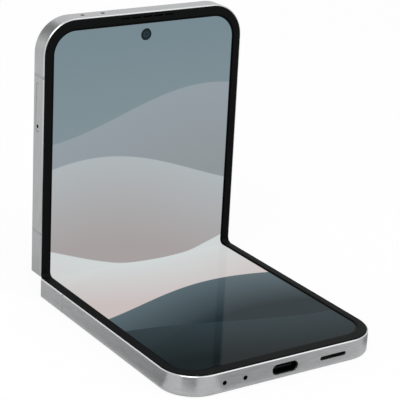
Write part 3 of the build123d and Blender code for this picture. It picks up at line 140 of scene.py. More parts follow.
def brushed(name, surface, across, rim, bores):
    """A metal with long fine scratches along its band, a painted highlight on its rim edge and painted
    shade in its bores.
    """
    material, shader = start_material(name, surface)
    place = add_node(material, "ShaderNodeTexCoord")
    scale = [1 / (SCRATCH_LENGTH_MM * MM)] * 3
    scale["XYZ".index(across)] = 1 / (SCRATCH_MM * MM)
    stretched = add_node(
        material,
        "ShaderNodeMapping",
        {"Scale": scale},
        {"Vector": place.outputs["Object"]},
    )
    scratches = add_node(
        material,
        "ShaderNodeTexNoise",
        {"Scale": 1.0, "Detail": 3.0},
        {"Vector": stretched.outputs["Vector"]},
    )
    tone = add_node(
        material,
        "ShaderNodeMix",
        {"data_type": "RGBA", 6: linear(SCRATCH_DARK), 7: linear(SCRATCH_LIGHT)},
        {0: scratches.outputs["Fac"]},
    )
    # The rim edge is painted brighter here, a painted highlight; it is also given a lower roughness.
    rim_highlight = past_height(material, place, across, *rim)
    tone = add_node(
        material,
        "ShaderNodeMix",
        {"data_type": "RGBA", 7: linear(RIM_HIGHLIGHT_TONE)},
        {0: rim_highlight, 6: tone.outputs[2]},
    )
    # Each bore's wall and a thin ring round its mouth are painted near black, a painted shade.
    for bore in bores:
        tone = add_node(
            material,
            "ShaderNodeMix",
            {"data_type": "RGBA", 7: linear(BORE_SHADE_TONE)},
            {0: in_bore(material, place, *bore), 6: tone.outputs[2]},
        )
    join_sockets(material, tone.outputs[2], shader.inputs["Base Color"])
    mean = surface["Roughness"]
    gloss = add_node(
        material,
        "ShaderNodeMapRange",
        {"To Min": mean - SCRATCH_UNEVENNESS, "To Max": mean + SCRATCH_UNEVENNESS},
        {"Value": scratches.outputs["Fac"]},
    )
    gloss = add_node(material, "ShaderNodeMix", {3: RIM_EDGE_ROUGHNESS}, {0: rim_highlight, 2: gloss.outputs["Result"]})
    join_sockets(material, gloss.outputs[0], shader.inputs["Roughness"])
    bump = add_node(
        material,
        "ShaderNodeBump",
        {"Strength": 1.0, "Distance": SCRATCH_DEPTH_MM * MM},
        {"Height": scratches.outputs["Fac"]},
    )
    join_sockets(material, bump.outputs["Normal"], shader.inputs["Normal"])
    round_band = add_node(material, "ShaderNodeTangent", {"direction_type": "RADIAL", "axis": across})
    join_sockets(material, round_band.outputs["Tangent"], shader.inputs["Tangent"])
    return material


# The real scratches are about 0.03 mm apart; they are drawn at 0.3 mm so that they can be told.
SCRATCH_MM = 0.3
SCRATCH_LENGTH_MM = 7.0
SCRATCH_DEPTH_MM = 0.004
SCRATCH_LIGHT = "C6C7C8"
SCRATCH_DARK = "9A9B9C"
SCRATCH_UNEVENNESS = 0.05
QUARTER_TURN = 0.25
# The painted highlight's tone on the rim edge, and that edge's roughness.
RIM_HIGHLIGHT_TONE = "C8C9CA"
RIM_EDGE_ROUGHNESS = 0.28
# The painted shade's tone in the bores, how far past their edge it reaches and how far it fades.
BORE_SHADE_TONE = "0C0D0E"
BORE_MARGIN_MM = 0.12
BORE_BLUR_MM = 0.08
# Where the painted highlight on the rim edge starts in each frame, then each bore's mouth and radius in
# millimetres and how much its axis is drawn in.
LOWER_RIM = (6.29, 6.33)
UPPER_RIM = (42.0, 41.96)
LOWER_BORES = (
    ((-21.1, -41.2, 3.2), 0.55, (1, 0.2, 1)),
    ((-14.0, -41.2, 3.2), 0.55, (1, 0.2, 1)),
)
UPPER_BORES = (
    ((-21.1, 45.09, 89.5), 0.55, (1, 1, 0.2)),
    ((-14.0, 45.09, 89.5), 0.55, (1, 1, 0.2)),
    ((-35.95, 45.09, 55.87), 0.45, (0.2, 1, 1)),
)
surface = {
    "Metallic": 1.0,
    "Roughness": 0.36,
    "Anisotropic": 0.8,
    "Anisotropic Rotation": QUARTER_TURN,
}
aluminium_lower = brushed("aluminium_brushed_lower", surface, "Z", LOWER_RIM, LOWER_BORES)
aluminium_upper = brushed("aluminium_brushed_upper", surface, "Y", UPPER_RIM, UPPER_BORES)
finish_nodes(aluminium_lower, "lower_frame")
finish_nodes(aluminium_upper, "upper_frame")

# ---------------------------------------------------------------- keys and card tray
# The two keys and the card tray are machined from the same aluminium as the band and anodised
# with it, so only the thin gap round them shows.
finish_nodes(aluminium_upper, "power_key", "volume_key", "sim_tray")

# ---------------------------------------------------------------- antenna breaks
# Bands of glass-filled nylon are moulded into cuts through the aluminium band and milled flush
# with it. They are tinted to the metal, so they read as matt lines a shade off.
def grained(name, surface, grain_mm, height_mm, unevenness=0.0):
    """A surface with a fine random grain, and with gloss that varies a little along it."""
    material, shader = start_material(name, surface)
    place = add_node(material, "ShaderNodeTexCoord")
    grain = add_node(
        material,
        "ShaderNodeTexNoise",
        {"Scale": 1 / (grain_mm * MM), "Detail": 2.0},
        {"Vector": place.outputs["Object"]},
    )
    bump = add_node(
        material,
        "ShaderNodeBump",
        {"Strength": 1.0, "Distance": height_mm * MM},
        {"Height": grain.outputs["Fac"]},
    )
    join_sockets(material, bump.outputs["Normal"], shader.inputs["Normal"])
    if unevenness:
        gloss = add_node(
            material,
            "ShaderNodeMapRange",
            {"To Min": surface["Roughness"] - unevenness, "To Max": surface["Roughness"] + unevenness},
            {"Value": grain.outputs["Fac"]},
        )
        join_sockets(material, gloss.outputs["Result"], shader.inputs["Roughness"])
    return material


surface = {"Base Color": linear("989A9B"), "Roughness": 0.5, "IOR": 1.5}
nylon_tinted = grained("nylon_glass_filled_milled", surface, grain_mm=0.2, height_mm=0.002)
finish_nodes(nylon_tinted, "antenna_breaks_lower", "antenna_breaks_upper")

# ---------------------------------------------------------------- soft rims
# A soft black rim is glued round each half's display and laps over its edge. It is moulded
# polyurethane with a fine matt texture, so it stays nearly black under any light.
surface = {"Base Color": linear("08090A"), "Roughness": 0.6, "IOR": 1.16}
polyurethane_black = grained("polyurethane_moulded_black", surface, grain_mm=0.3, height_mm=0.006)
finish_nodes(polyurethane_black, "lower_bezel", "upper_bezel")

# ---------------------------------------------------------------- flexible display
# One sheet of lit display under ultra-thin glass and a protective film spans both halves. Its
# picture is a plain design of soft overlapping waves, blue-grey at the top, pale at the fold and
# dark slate at the bottom, inside a black border. The coated film reflects sharply but weakly.
panel_low, panel_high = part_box("display_lower")
standing_low, standing_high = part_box("display_upper")
FOLD_RADIUS = standing_low.z - panel_high.z
fold_y = panel_high.y
fold_z = standing_low.z
HALF_BEND = math.pi / 4
HALF_FOLD_LENGTH = FOLD_RADIUS * HALF_BEND
BORDER_SIDE = 1.24 * MM
BORDER_TOP = 1.44 * MM
BORDER_BOTTOM = 1.98 * MM
BORDER_CORNER = 7.3 * MM
BORDER_BLUR = 0.04 * MM
straight_side = panel_high.x - BORDER_SIDE - BORDER_CORNER
straight_top = standing_high.z - fold_z + HALF_FOLD_LENGTH - BORDER_TOP - BORDER_CORNER
straight_bottom = fold_y - panel_low.y + HALF_FOLD_LENGTH - BORDER_BOTTOM - BORDER_CORNER
# Each wave's middle, height, turn in radians to the millimetre and start, its two tones and the
# depth over which they run; lengths are in millimetres from the fold.
WAVES = (
    (50.0, 7.0, 0.050, 0.4, "939DA4", "8F9699", 30.0),
    (28.0, 9.0, 0.042, 2.3, "AFB6B9", "A69F9F", 30.0),
    (6.0, 8.0, 0.046, 4.4, "CFD5D5", "C8BDBB", 34.0),
    (-32.0, 7.0, 0.050, 0.9, "55666D", "222E33", 24.0),
    (-54.0, 8.0, 0.040, 3.2, "2C3A3F", "161E20", 24.0),
)
WAVE_BLUR = 0.15 * MM
SKY_TOP = "768890"
SKY_LOW = "87959B"
SKY_START = 80 * MM
SKY_END = 20 * MM


def below_wave(material, x, along, middle, height, pitch, start):
    """How far a point lies below the edge of one wave."""
    phase = add_node(
        material,
        "ShaderNodeMath",
        {"operation": "MULTIPLY_ADD", 1: pitch / MM, 2: start},
        {0: x},
    )
    sway = add_node(material, "ShaderNodeMath", {"operation": "SINE"}, {0: phase.outputs[0]})
    edge = add_node(
        material,
        "ShaderNodeMath",
        {"operation": "MULTIPLY_ADD", 1: height * MM, 2: middle * MM},
        {0: sway.outputs[0]},
    )
    below = add_node(material, "ShaderNodeMath", {"operation": "SUBTRACT"}, {0: edge.outputs[0], 1: along})
    return below.outputs[0]


def wave_picture(material, x, along):
    """The sky with the waves before it, each running from its crest's tone to its trough's."""
    sky = add_node(
        material,
        "ShaderNodeMapRange",
        {"From Min": SKY_START, "From Max": SKY_END},
        {"Value": along},
    )
    picture = add_node(
        material,
        "ShaderNodeMix",
        {"data_type": "RGBA", 6: linear(SKY_TOP), 7: linear(SKY_LOW)},
        {0: sky.outputs["Result"]},
    )
    for *shape, crest, trough, depth in WAVES:
        below = below_wave(material, x, along, *shape)
        shade = add_node(material, "ShaderNodeMapRange", {"From Max": depth * MM}, {"Value": below})
        wave = add_node(
            material,
            "ShaderNodeMix",
            {"data_type": "RGBA", 6: linear(crest), 7: linear(trough)},
            {0: shade.outputs["Result"]},
        )
        inside = add_node(
            material,
            "ShaderNodeMapRange",
            {"From Min": -WAVE_BLUR, "From Max": WAVE_BLUR},
            {"Value": below},
        )
        picture = add_node(
            material,
            "ShaderNodeMix",
            {"data_type": "RGBA"},
            {0: inside.outputs["Result"], 6: picture.outputs[2], 7: wave.outputs[2]},
        )
    return picture.outputs[2]


def black_border(material, picture, x, along):
    """The picture with black outside a rectangle that has round corners."""
    from_middle = add_node(material, "ShaderNodeMath", {"operation": "ABSOLUTE"}, {0: x})
    past_side = add_node(
        material,
        "ShaderNodeMath",
        {"operation": "SUBTRACT", 1: straight_side},
        {0: from_middle.outputs[0]},
    )
    past_top = add_node(
        material,
        "ShaderNodeMath",
        {"operation": "SUBTRACT", 1: straight_top},
        {0: along},
    )
    past_bottom = add_node(
        material,
        "ShaderNodeMath",
        {"operation": "MULTIPLY_ADD", 1: -1.0, 2: -straight_bottom},
        {0: along},
    )
    past_end = add_node(
        material,
        "ShaderNodeMath",
        {"operation": "MAXIMUM"},
        {0: past_top.outputs[0], 1: past_bottom.outputs[0]},
    )
    corner = add_node(
        material,
        "ShaderNodeCombineXYZ",
        links={"X": past_side.outputs[0], "Y": past_end.outputs[0]},
    )
    outside = add_node(material, "ShaderNodeVectorMath", {"operation": "MAXIMUM"}, {0: corner.outputs[0]})
    from_corner = add_node(
        material,
        "ShaderNodeVectorMath",
        {"operation": "LENGTH"},
        {0: outside.outputs[0]},
    )
    border = add_node(
        material,
        "ShaderNodeMapRange",
        {"From Min": BORDER_CORNER - BORDER_BLUR, "From Max": BORDER_CORNER + BORDER_BLUR},
        {"Value": from_corner.outputs["Value"]},
    )
    bordered = add_node(
        material,
        "ShaderNodeMix",
        {"data_type": "RGBA", 7: linear("000000")},
        {0: border.outputs["Result"], 6: picture},
    )
    return bordered.outputs[2]


def lit_display(name, coordinates, axis, along_start):
    """The lit display's material; its picture runs on across the fold from piece to piece."""
    surface = {"Base Color": linear("050606"), "Roughness": 0.07, "IOR": 1.1, "Emission Strength": 1.0}
    material, shader = start_material(name, surface)
    place = add_node(material, "ShaderNodeTexCoord")
    split = add_node(material, "ShaderNodeSeparateXYZ", links={"Vector": place.outputs[coordinates]})
    along = add_node(
        material,
        "ShaderNodeMath",
        {"operation": "SUBTRACT", 1: along_start},
        {0: split.outputs[axis]},
    )
    picture = wave_picture(material, split.outputs["X"], along.outputs[0])
    picture = black_border(material, picture, split.outputs["X"], along.outputs[0])
    join_sockets(material, picture, shader.inputs["Emission Color"])
    return material


lower_film = lit_display("display_film_lower", "Object", "Y", fold_y + HALF_FOLD_LENGTH)
upper_film = lit_display("display_film_upper", "Object", "Z", fold_z - HALF_FOLD_LENGTH)
finish_nodes(lower_film, "display_lower")
finish_nodes(upper_film, "display_upper")

# ---------------------------------------------------------------- display across the fold
# Between the two flat panels the same sheet bends round a small radius. It is made as two strips,
# one each side of the fold's middle.
FOLD_STEPS = 14
WELD = 0.001 * MM
SMOOTH_BELOW = math.radians(30)
DISPLAY_THICKNESS = panel_high.z - panel_low.z
fold_centre = (0, fold_y, fold_z)


def deselect_all():
    """Leaves nothing selected before an operator acts."""
    if bpy.context.mode != "OBJECT":
        bpy.ops.object.mode_set(mode="OBJECT")
    bpy.ops.object.select_all(action="DESELECT")


def extrude_wall(strip, half, centre, middle, outer, wall_start, side, reach):
    """Gives the flat section of a strip a wall that reaches further out along one side."""
    bpy.ops.mesh.bisect(plane_co=(wall_start, 0, 0), plane_no=(1, 0, 0))
    section = bmesh.from_edit_mesh(strip.data)
    for vertex in section.verts:
        radius = math.hypot(vertex.co.y - centre[1], vertex.co.z - centre[2])
        beyond = (vertex.co.x - wall_start) * side > -WELD
        vertex.select = beyond and radius > middle
    section.select_mode = {"VERT"}
    section.select_flush_mode()
    bmesh.update_edit_mesh(strip.data)
    outward = reach - outer
    drop = (0, 0, -outward) if half == "lower" else (0, outward, 0)
    bpy.ops.mesh.extrude_region_move(TRANSFORM_OT_translate={"value": drop})
    bpy.ops.mesh.select_all(action="SELECT")


def bent_strip(name, half, x_range, centre, inner, outer, lead=0.0, wall=None):
    """A strip bent through half of a right-angled bend, with a straight lead before or after it.

    A wall is where it starts across, on which side, and how far out from the centre it reaches.
    """
    deselect_all()
    across = (x_range[0] + x_range[1]) / 2
    middle = (inner + outer) / 2
    if half == "lower":
        place = (across, centre[1] - lead, centre[2] - middle)
        tilt, push, turn = math.pi / 2, (0, lead, 0), -HALF_BEND
    else:
        place = (across, centre[1] + middle, centre[2] + lead)
        tilt, push, turn = 0.0, (0, 0, -lead), HALF_BEND
    bpy.ops.mesh.primitive_plane_add(size=1, location=place, rotation=(tilt, 0, 0))
    strip = bpy.context.object
    strip.name = name
    strip.scale = (x_range[1] - x_range[0], outer - inner, 1)
    bpy.ops.object.transform_apply(location=True, rotation=True, scale=True)
    bpy.ops.object.mode_set(mode="EDIT")
    bpy.ops.mesh.select_all(action="SELECT")
    if wall:
        extrude_wall(strip, half, centre, middle, outer, *wall)
    if lead:
        bpy.ops.mesh.extrude_region_move(TRANSFORM_OT_translate={"value": push})
    bpy.ops.mesh.spin(steps=FOLD_STEPS, angle=turn, center=centre, axis=(1, 0, 0))
    bpy.ops.mesh.select_all(action="SELECT")
    bpy.ops.mesh.remove_doubles(threshold=WELD)
    bpy.ops.mesh.normals_make_consistent(inside=False)
    bpy.ops.object.mode_set(mode="OBJECT")
    bpy.ops.object.shade_smooth_by_angle(angle=SMOOTH_BELOW)
    return strip


def blend_across_fold(strip, half):
    """Bakes a strip's placing into its mesh, for either half alike."""
    if half == "lower":
        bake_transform(strip)
    else:
        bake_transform(strip)


def finish_strip(strip, material, node):
    """Gives a strip its material and lets it stand for the CAD node."""
    strip.data.materials.clear()
    strip.data.materials.append(material)
    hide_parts(node)


fold_film = lit_display("display_film_fold", "UV", "Y", 0.0)
display_x = (panel_low.x, panel_high.x)
for half in ("lower", "upper"):
    strip = bent_strip(
        f"display_fold_{half}",
        half,
        display_x,
        fold_centre,
        FOLD_RADIUS,
        FOLD_RADIUS + DISPLAY_THICKNESS,
    )
    for loop, uv in zip(strip.data.loops, strip.data.uv_layers.active.data):
        point = strip.data.vertices[loop.vertex_index].co
        turn = math.atan2(point.y - fold_y, fold_z - point.z) - HALF_BEND
        uv.uv = (point.x, turn * FOLD_RADIUS)
    finish_strip(strip, fold_film, "display_fold")
    blend_across_fold(strip, half)

# ---------------------------------------------------------------- soft rims across the fold
# At each side of the fold a short elastic strip of the rims' polyurethane carries the black edge
# from one half to the other and keeps dust out of the hinge.
gasket_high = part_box("fold_gaskets")[1]
GASKET_WIDTH = 2.54 * MM
GASKET_WALL = 1.84 * MM
GASKET_RISE = 0.3 * MM
GASKET_CLEARANCE = 0.03 * MM
for side in (-1, 1):
    edge = gasket_high.x * side
    for half in ("lower", "upper"):
        strip = bent_strip(
            f"fold_gasket_{half}_{'left' if side < 0 else 'right'}",
            half,
            sorted((edge, edge - side * GASKET_WIDTH)),
            fold_centre,
            FOLD_RADIUS - GASKET_RISE,
            FOLD_RADIUS - GASKET_CLEARANCE,
            wall=(edge - side * GASKET_WALL, side, FOLD_RADIUS + DISPLAY_THICKNESS),
        )
        finish_strip(strip, polyurethane_black, "fold_gaskets")
        blend_across_fold(strip, half)

# ---------------------------------------------------------------- display supports
# A rolled stainless sheet, thinner than a card, is glued behind each flat panel and keeps it even.
# Rolling leaves it smooth and bright, with a faint haze.
surface = {"Base Color": linear("A3A4A6"), "Metallic": 1.0, "Roughness": 0.28}
steel_rolled = grained("steel_stainless_rolled", surface, grain_mm=0.4, height_mm=0.001, unevenness=0.04)
finish_nodes(steel_rolled, "display_support_lower", "display_support_upper")

# ---------------------------------------------------------------- back glass
# The lower half's back is a sheet of glass, etched matt outside and printed pale silver inside. It
# is glued into the frame's step, and reads as satin paint with no sharp reflection.
surface = {"Base Color": linear("B9BBBD"), "Roughness": 0.42, "IOR": 1.52}
glass_etched = grained("glass_etched_printed", surface, grain_mm=0.15, height_mm=0.001)
finish_nodes(glass_etched, "lower_back_glass")

# ---------------------------------------------------------------- cover glass and its display
# The upper half's outer face is polished glass, glued over a dark outer display that is switched
# off, so it mirrors the room like black lacquer.
surface = {"Base Color": linear("050607"), "Roughness": 0.04, "IOR": 1.52}
glass_polished = grained("glass_polished_black", surface, grain_mm=3.0, height_mm=0.0002)
finish_nodes(glass_polished, "cover_glass", "cover_display_panel")

# ---------------------------------------------------------------- rear cameras
# Two camera barrels stand behind raised rings of turned aluminium. Each ring holds a coated lens
# glass, through which the stepped dark baffles of the barrel show as rings.
turned = {"Base Color": linear("B4B6B8"), "Metallic": 1.0, "Roughness": 0.24}
aluminium_turned = grained(
    "aluminium_anodised_turned",
    turned,
    grain_mm=0.12,
    height_mm=0.001,
    unevenness=0.02,
)
finish_nodes(aluminium_turned, "camera_rings")

# A wave texture at scale one repeats every 0.314 m.
WAVE_PERIOD = 0.314


def ringed(name, surface, middle, mirror_x, pitch_mm, light, dark):
    """A surface with fine rings about an axis along Y, repeated either side of a plane in X."""
    material, shader = start_material(name, surface)
    place = add_node(material, "ShaderNodeTexCoord")
    split = add_node(material, "ShaderNodeSeparateXYZ", links={"Vector": place.outputs["Object"]})
    offset = add_node(
        material,
        "ShaderNodeMath",
        {"operation": "SUBTRACT", 1: mirror_x},
        {0: split.outputs["X"]},
    )
    folded = add_node(material, "ShaderNodeMath", {"operation": "ABSOLUTE"}, {0: offset.outputs[0]})
    x = add_node(
        material,
        "ShaderNodeMath",
        {"operation": "SUBTRACT", 1: abs(middle[0] - mirror_x)},
        {0: folded.outputs[0]},
    )
    z = add_node(
        material,
        "ShaderNodeMath",
        {"operation": "SUBTRACT", 1: middle[1]},
        {0: split.outputs["Z"]},
    )
    flat = add_node(material, "ShaderNodeCombineXYZ", links={"X": x.outputs[0], "Z": z.outputs[0]})
    rings = add_node(
        material,
        "ShaderNodeTexWave",
        {"wave_type": "RINGS", "rings_direction": "SPHERICAL", "Scale": WAVE_PERIOD / (pitch_mm * MM)},
        {"Vector": flat.outputs[0]},
    )
    tone = add_node(
        material,
        "ShaderNodeMix",
        {"data_type": "RGBA", 6: linear(dark), 7: linear(light)},
        {0: rings.outputs["Fac"]},
    )
    join_sockets(material, tone.outputs[2], shader.inputs["Base Color"])
    return material


def box_middle(name):
    """The middle of a node's box across and up."""
    low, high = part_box(name)
    return ((low.x + high.x) / 2, (low.z + high.z) / 2)


pair_x, lens_z = box_middle("camera_lens_glass")
lens_low, lens_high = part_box("camera_lens_glass")
LENS_RADIUS = (lens_high.z - lens_low.z) / 2
outer_lens = (lens_high.x - LENS_RADIUS, lens_z)
coated = {"Roughness": 0.03, "IOR": 1.2}
glass_coated = ringed(
    "glass_lens_coated",
    coated,
    outer_lens,
    pair_x,
    pitch_mm=1.1,
    light="1A2026",
    dark="040507",
)
finish_nodes(glass_coated, "camera_lens_glass")

surface = {"Base Color": linear("141516"), "Roughness": 0.5, "IOR": 1.5}
polyamide_black = grained("polyamide_moulded_black", surface, grain_mm=0.2, height_mm=0.003)
finish_nodes(polyamide_black, "rear_camera_modules", "key_switches")

# ---------------------------------------------------------------- flash
# The flash is a small lens of clear moulded acrylic, set flush in the cover glass. Its fine steps
# show as rings over the pale yellow lamp behind it.
flash_middle = box_middle("flash")
clear = {"Roughness": 0.15, "IOR": 1.49}
acrylic_stepped = ringed(
    "acrylic_moulded_stepped",
    clear,
    flash_middle,
    flash_middle[0],
    pitch_mm=0.35,
    light="F3E9CB",
    dark="D9CBA0",
)
finish_nodes(acrylic_stepped, "flash")

# ---------------------------------------------------------------- front camera
# A camera looks through a round hole in the upper display. Its glass is flush and nearly black,
# with the faint ring of its barrel inside.
front_middle = box_middle("front_camera")
glass_front = ringed(
    "glass_front_coated",
    coated,
    front_middle,
    front_middle[0],
    pitch_mm=1.5,
    light="22343D",
    dark="0E181C",
)
finish_nodes(glass_front, "front_camera")

# ---------------------------------------------------------------- ports
# The charging receptacle is a drawn steel shell round a black tongue. Behind the loudspeaker's
# slot lies a blackened woven mesh, and small canned microphones sit behind their pin holes.
surface = {"Base Color": linear("202122"), "Metallic": 1.0, "Roughness": 0.45}
steel_blackened = grained(
    "steel_drawn_blackened",
    surface,
    grain_mm=0.2,
    height_mm=0.001,
    unevenness=0.04,
)
finish_nodes(steel_blackened, "usb_c_receptacle", "bottom_microphones", "top_microphones")

# The real mesh has 0.1 mm openings; they are drawn at 0.3 mm.
WEAVE_MM = 0.3
WEAVE_DEPTH_MM = 0.03
steel_woven, shader = start_material(
    "steel_woven_blackened",
    {"Base Color": linear("1A1B1C"), "Metallic": 1.0, "Roughness": 0.45},
)
place = add_node(steel_woven, "ShaderNodeTexCoord")
weave = add_node(
    steel_woven,
    "ShaderNodeTexChecker",
    {"Scale": 1 / (WEAVE_MM * MM)},
    {"Vector": place.outputs["Object"]},
)
bump = add_node(
    steel_woven,
    "ShaderNodeBump",
    {"Strength": 1.0, "Distance": WEAVE_DEPTH_MM * MM},
    {"Height": weave.outputs["Fac"]},
)
join_sockets(steel_woven, bump.outputs["Normal"], shader.inputs["Normal"])
finish_nodes(steel_woven, "speaker_mesh")

# ---------------------------------------------------------------- earpiece mesh
# A strip of the same woven mesh, pressed to a shallow tray, lies in the duct under the upper
# rim's slots. It keeps dust out of the earpiece and makes the slots look black.
rim_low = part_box("upper_bezel")[0]
frame_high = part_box("upper_frame")[1]
MESH_SIZE_MM = (18.9, 0.2, 0.8)
MESH_RIM = 0.12 * MM
MESH_DEPTH = 0.08 * MM
MESH_BACK = 1.15 * MM
MESH_END = 1.65 * MM
deselect_all()
bpy.ops.mesh.primitive_cube_add(
    size=1,
    location=(0, rim_low.y + MESH_BACK, frame_high.z - MESH_END),
)
mesh_strip = bpy.context.object
mesh_strip.name = "earpiece_mesh"
mesh_strip.scale = [value * MM for value in MESH_SIZE_MM]
bpy.ops.object.transform_apply(location=True, rotation=True, scale=True)
bpy.ops.object.mode_set(mode="EDIT")
bpy.ops.mesh.select_mode(type="FACE")
bpy.ops.mesh.select_all(action="DESELECT")
tray = bmesh.from_edit_mesh(mesh_strip.data)
for face in tray.faces:
    face.select = face.normal.y < -0.5
bmesh.update_edit_mesh(mesh_strip.data)
bpy.ops.mesh.inset(thickness=MESH_RIM)
bpy.ops.transform.translate(value=(0, MESH_DEPTH, 0))
bpy.ops.object.mode_set(mode="OBJECT")
mesh_strip.data.materials.append(steel_woven)
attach(mesh_strip, "upper_half")

# ---------------------------------------------------------------- circuit boards
# The main board and the sub-board are laminated glass and epoxy under dark green solder mask,
# with fine copper runs that show through the mask as lighter lines.
# The real runs are about 0.1 mm wide; they are drawn 0.25 mm wide, in patches of 2.4 mm.
RUN_PATCH_MM = 2.4
RUN_STEP = 0.1
RUN_EDGE = 0.045
RUN_INSIDE = 0.055
board_laminate, shader = start_material("epoxy_laminated_masked", {"Roughness": 0.38, "IOR": 1.5})
place = add_node(board_laminate, "ShaderNodeTexCoord")
runs = add_node(
    board_laminate,
    "ShaderNodeTexVoronoi",
    {"distance": "MANHATTAN", "feature": "F1", "Scale": 1 / (RUN_PATCH_MM * MM)},
    {"Vector": place.outputs["Object"]},
)
traces = add_node(
    board_laminate,
    "ShaderNodeMath",
    {"operation": "PINGPONG", 1: RUN_STEP},
    {0: runs.outputs["Distance"]},
)
edge = add_node(
    board_laminate,
    "ShaderNodeMapRange",
    {"From Min": RUN_EDGE, "From Max": RUN_INSIDE},
    {"Value": traces.outputs[0]},
)
tone = add_node(
    board_laminate,
    "ShaderNodeMix",
    {"data_type": "RGBA", 6: linear("15392B"), 7: linear("2B5A41")},
    {0: edge.outputs["Result"]},
)
join_sockets(board_laminate, tone.outputs[2], shader.inputs["Base Color"])
finish_nodes(board_laminate, "main_board", "sub_board")

# ---------------------------------------------------------------- shields and card reader
# Stamped and nickel-plated steel cans clip over the chips, and the card reader's shell is the
# same sheet. Both are smooth and bright with a faint cloudiness.
surface = {"Base Color": linear("B0B0AD"), "Metallic": 1.0, "Roughness": 0.26}
steel_plated = grained(
    "steel_stamped_nickel_plated",
    surface,
    grain_mm=1.5,
    height_mm=0.002,
    unevenness=0.05,
)
finish_nodes(steel_plated, "shield_cans", "sim_reader", "vibration_motor")

# ---------------------------------------------------------------- batteries
# Each half holds one flat lithium cell, held to the frame's web with adhesive. Its pouch is black
# laminated foil, a little wrinkled, with a soft broken shine.
surface = {"Base Color": linear("1B1C1E"), "Roughness": 0.36, "IOR": 1.5}
foil_laminated = grained("foil_laminated_black", surface, grain_mm=4.0, height_mm=0.03, unevenness=0.05)
finish_nodes(foil_laminated, "lower_battery", "upper_battery")

# ---------------------------------------------------------------- charging coil
# A flat spiral of copper wire lies under the lower cell. The real wire's turns are 0.25 mm apart;
# they are drawn at 0.8 mm.
coil_low, coil_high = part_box("wireless_charging_coil")
TURN_MM = 0.8
copper_wound, shader = start_material("copper_wound_enamelled", {"Metallic": 1.0, "Roughness": 0.3})
place = add_node(copper_wound, "ShaderNodeTexCoord")
coil_middle = ((coil_low.x + coil_high.x) / 2, (coil_low.y + coil_high.y) / 2, 0)
centred = add_node(
    copper_wound,
    "ShaderNodeVectorMath",
    {"operation": "SUBTRACT", 1: coil_middle},
    {0: place.outputs["Object"]},
)
turns = add_node(
    copper_wound,
    "ShaderNodeTexWave",
    {"wave_type": "RINGS", "rings_direction": "Z", "Scale": WAVE_PERIOD / (TURN_MM * MM)},
    {"Vector": centred.outputs[0]},
)
tone = add_node(
    copper_wound,
    "ShaderNodeMix",
    {"data_type": "RGBA", 6: linear("6E3B22"), 7: linear("C88456")},
    {0: turns.outputs["Fac"]},
)
join_sockets(copper_wound, tone.outputs[2], shader.inputs["Base Color"])
finish_nodes(copper_wound, "wireless_charging_coil")

# ---------------------------------------------------------------- sound and vibration
# The loudspeaker and the earpiece are sealed boxes moulded in black polyamide. The vibration
# motor next to them is in a plated can, like the shields.
finish_nodes(polyamide_black, "loudspeaker", "earpiece_speaker")

# ---------------------------------------------------------------- hinge
# Swing arms, toothed sectors and gears are sintered from steel powder and tumbled, which leaves
# them grey with a soft sheen. They turn in blocks of the same steel on ground pins.
surface = {"Base Color": linear("8B8C8E"), "Metallic": 1.0, "Roughness": 0.4}
steel_sintered = grained(
    "steel_sintered_tumbled",
    surface,
    grain_mm=0.15,
    height_mm=0.003,
    unevenness=0.05,
)
finish_nodes(
    steel_sintered,
    "hinge_arms_lower",
    "hinge_arms_upper",
    "sync_sector_lower",
    "sync_sector_upper",
    "sync_gear_1",
    "sync_gear_2",
    "sync_gear_3",
    "sync_gear_4",
    "hinge_blocks",
    "gear_block",
)
surface = {"Base Color": linear("B4B5B7"), "Metallic": 1.0, "Roughness": 0.18}
steel_ground = grained("steel_ground_bright", surface, grain_mm=0.1, height_mm=0.0005, unevenness=0.02)
finish_nodes(steel_ground, "gear_pins", "friction_washers")

# ---------------------------------------------------------------- spine
# The spine is an extruded aluminium trough that covers the hinge from behind, anodised like the
# frames and closed at each end by a cap of the same metal.
surface = {"Base Color": linear("A4A6A7"), "Metallic": 1.0, "Roughness": 0.38}
aluminium_extruded = grained(
    "aluminium_extruded_anodised",
    surface,
    grain_mm=0.25,
    height_mm=0.004,
    unevenness=0.03,
)
finish_nodes(aluminium_extruded, "spine_cover", "spine_end_caps")

# ---------------------------------------------------------------- screws
# Screws hold the boards, the hinge arms and the hinge blocks. All are turned steel with a black
# oxide, so they are dark with a dull shine.
surface = {"Base Color": linear("38393B"), "Metallic": 1.0, "Roughness": 0.32}
steel_oxide = grained(
    "steel_turned_black_oxide",
    surface,
    grain_mm=0.1,
    height_mm=0.001,
    unevenness=0.03,
)
finish_nodes(
    steel_oxide,
    "hinge_screws_lower",
    "hinge_screws_upper",
    "board_screws_lower",
    "board_screws_upper",
    "spine_screws",
)

# ---------------------------------------------------------------- cable across the hinge
# A flexible cable of polyimide film with copper runs carries the signals between the halves. It
# follows the same bend as the display, a little further out, and is made in two halves as well.
# The real runs are about 0.1 mm apart; they are drawn at 0.5 mm.
RUN_PITCH_MM = 0.5
polyimide_laminated, shader = start_material("polyimide_laminated_amber", {"Roughness": 0.25, "IOR": 1.6})
place = add_node(polyimide_laminated, "ShaderNodeTexCoord")
runs = add_node(
    polyimide_laminated,
    "ShaderNodeTexWave",
    {"wave_type": "BANDS", "bands_direction": "X", "Scale": WAVE_PERIOD / (RUN_PITCH_MM * MM)},
    {"Vector": place.outputs["Object"]},
)
tone = add_node(
    polyimide_laminated,
    "ShaderNodeMix",
    {"data_type": "RGBA", 6: linear("A9661F"), 7: linear("7A3F12")},
    {0: runs.outputs["Fac"]},
)
join_sockets(polyimide_laminated, tone.outputs[2], shader.inputs["Base Color"])
cable_low, cable_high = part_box("hinge_flex_cable")
CABLE_BEND = 2.6 * MM
CABLE_THICKNESS = 0.12 * MM
cable_centre = (
    0,
    cable_high.y - CABLE_THICKNESS / 2 - CABLE_BEND,
    cable_low.z + CABLE_THICKNESS / 2 + CABLE_BEND,
)
cable_x = (cable_low.x, cable_high.x)
cable_leads = {"lower": cable_centre[1] - cable_low.y, "upper": cable_high.z - cable_centre[2]}
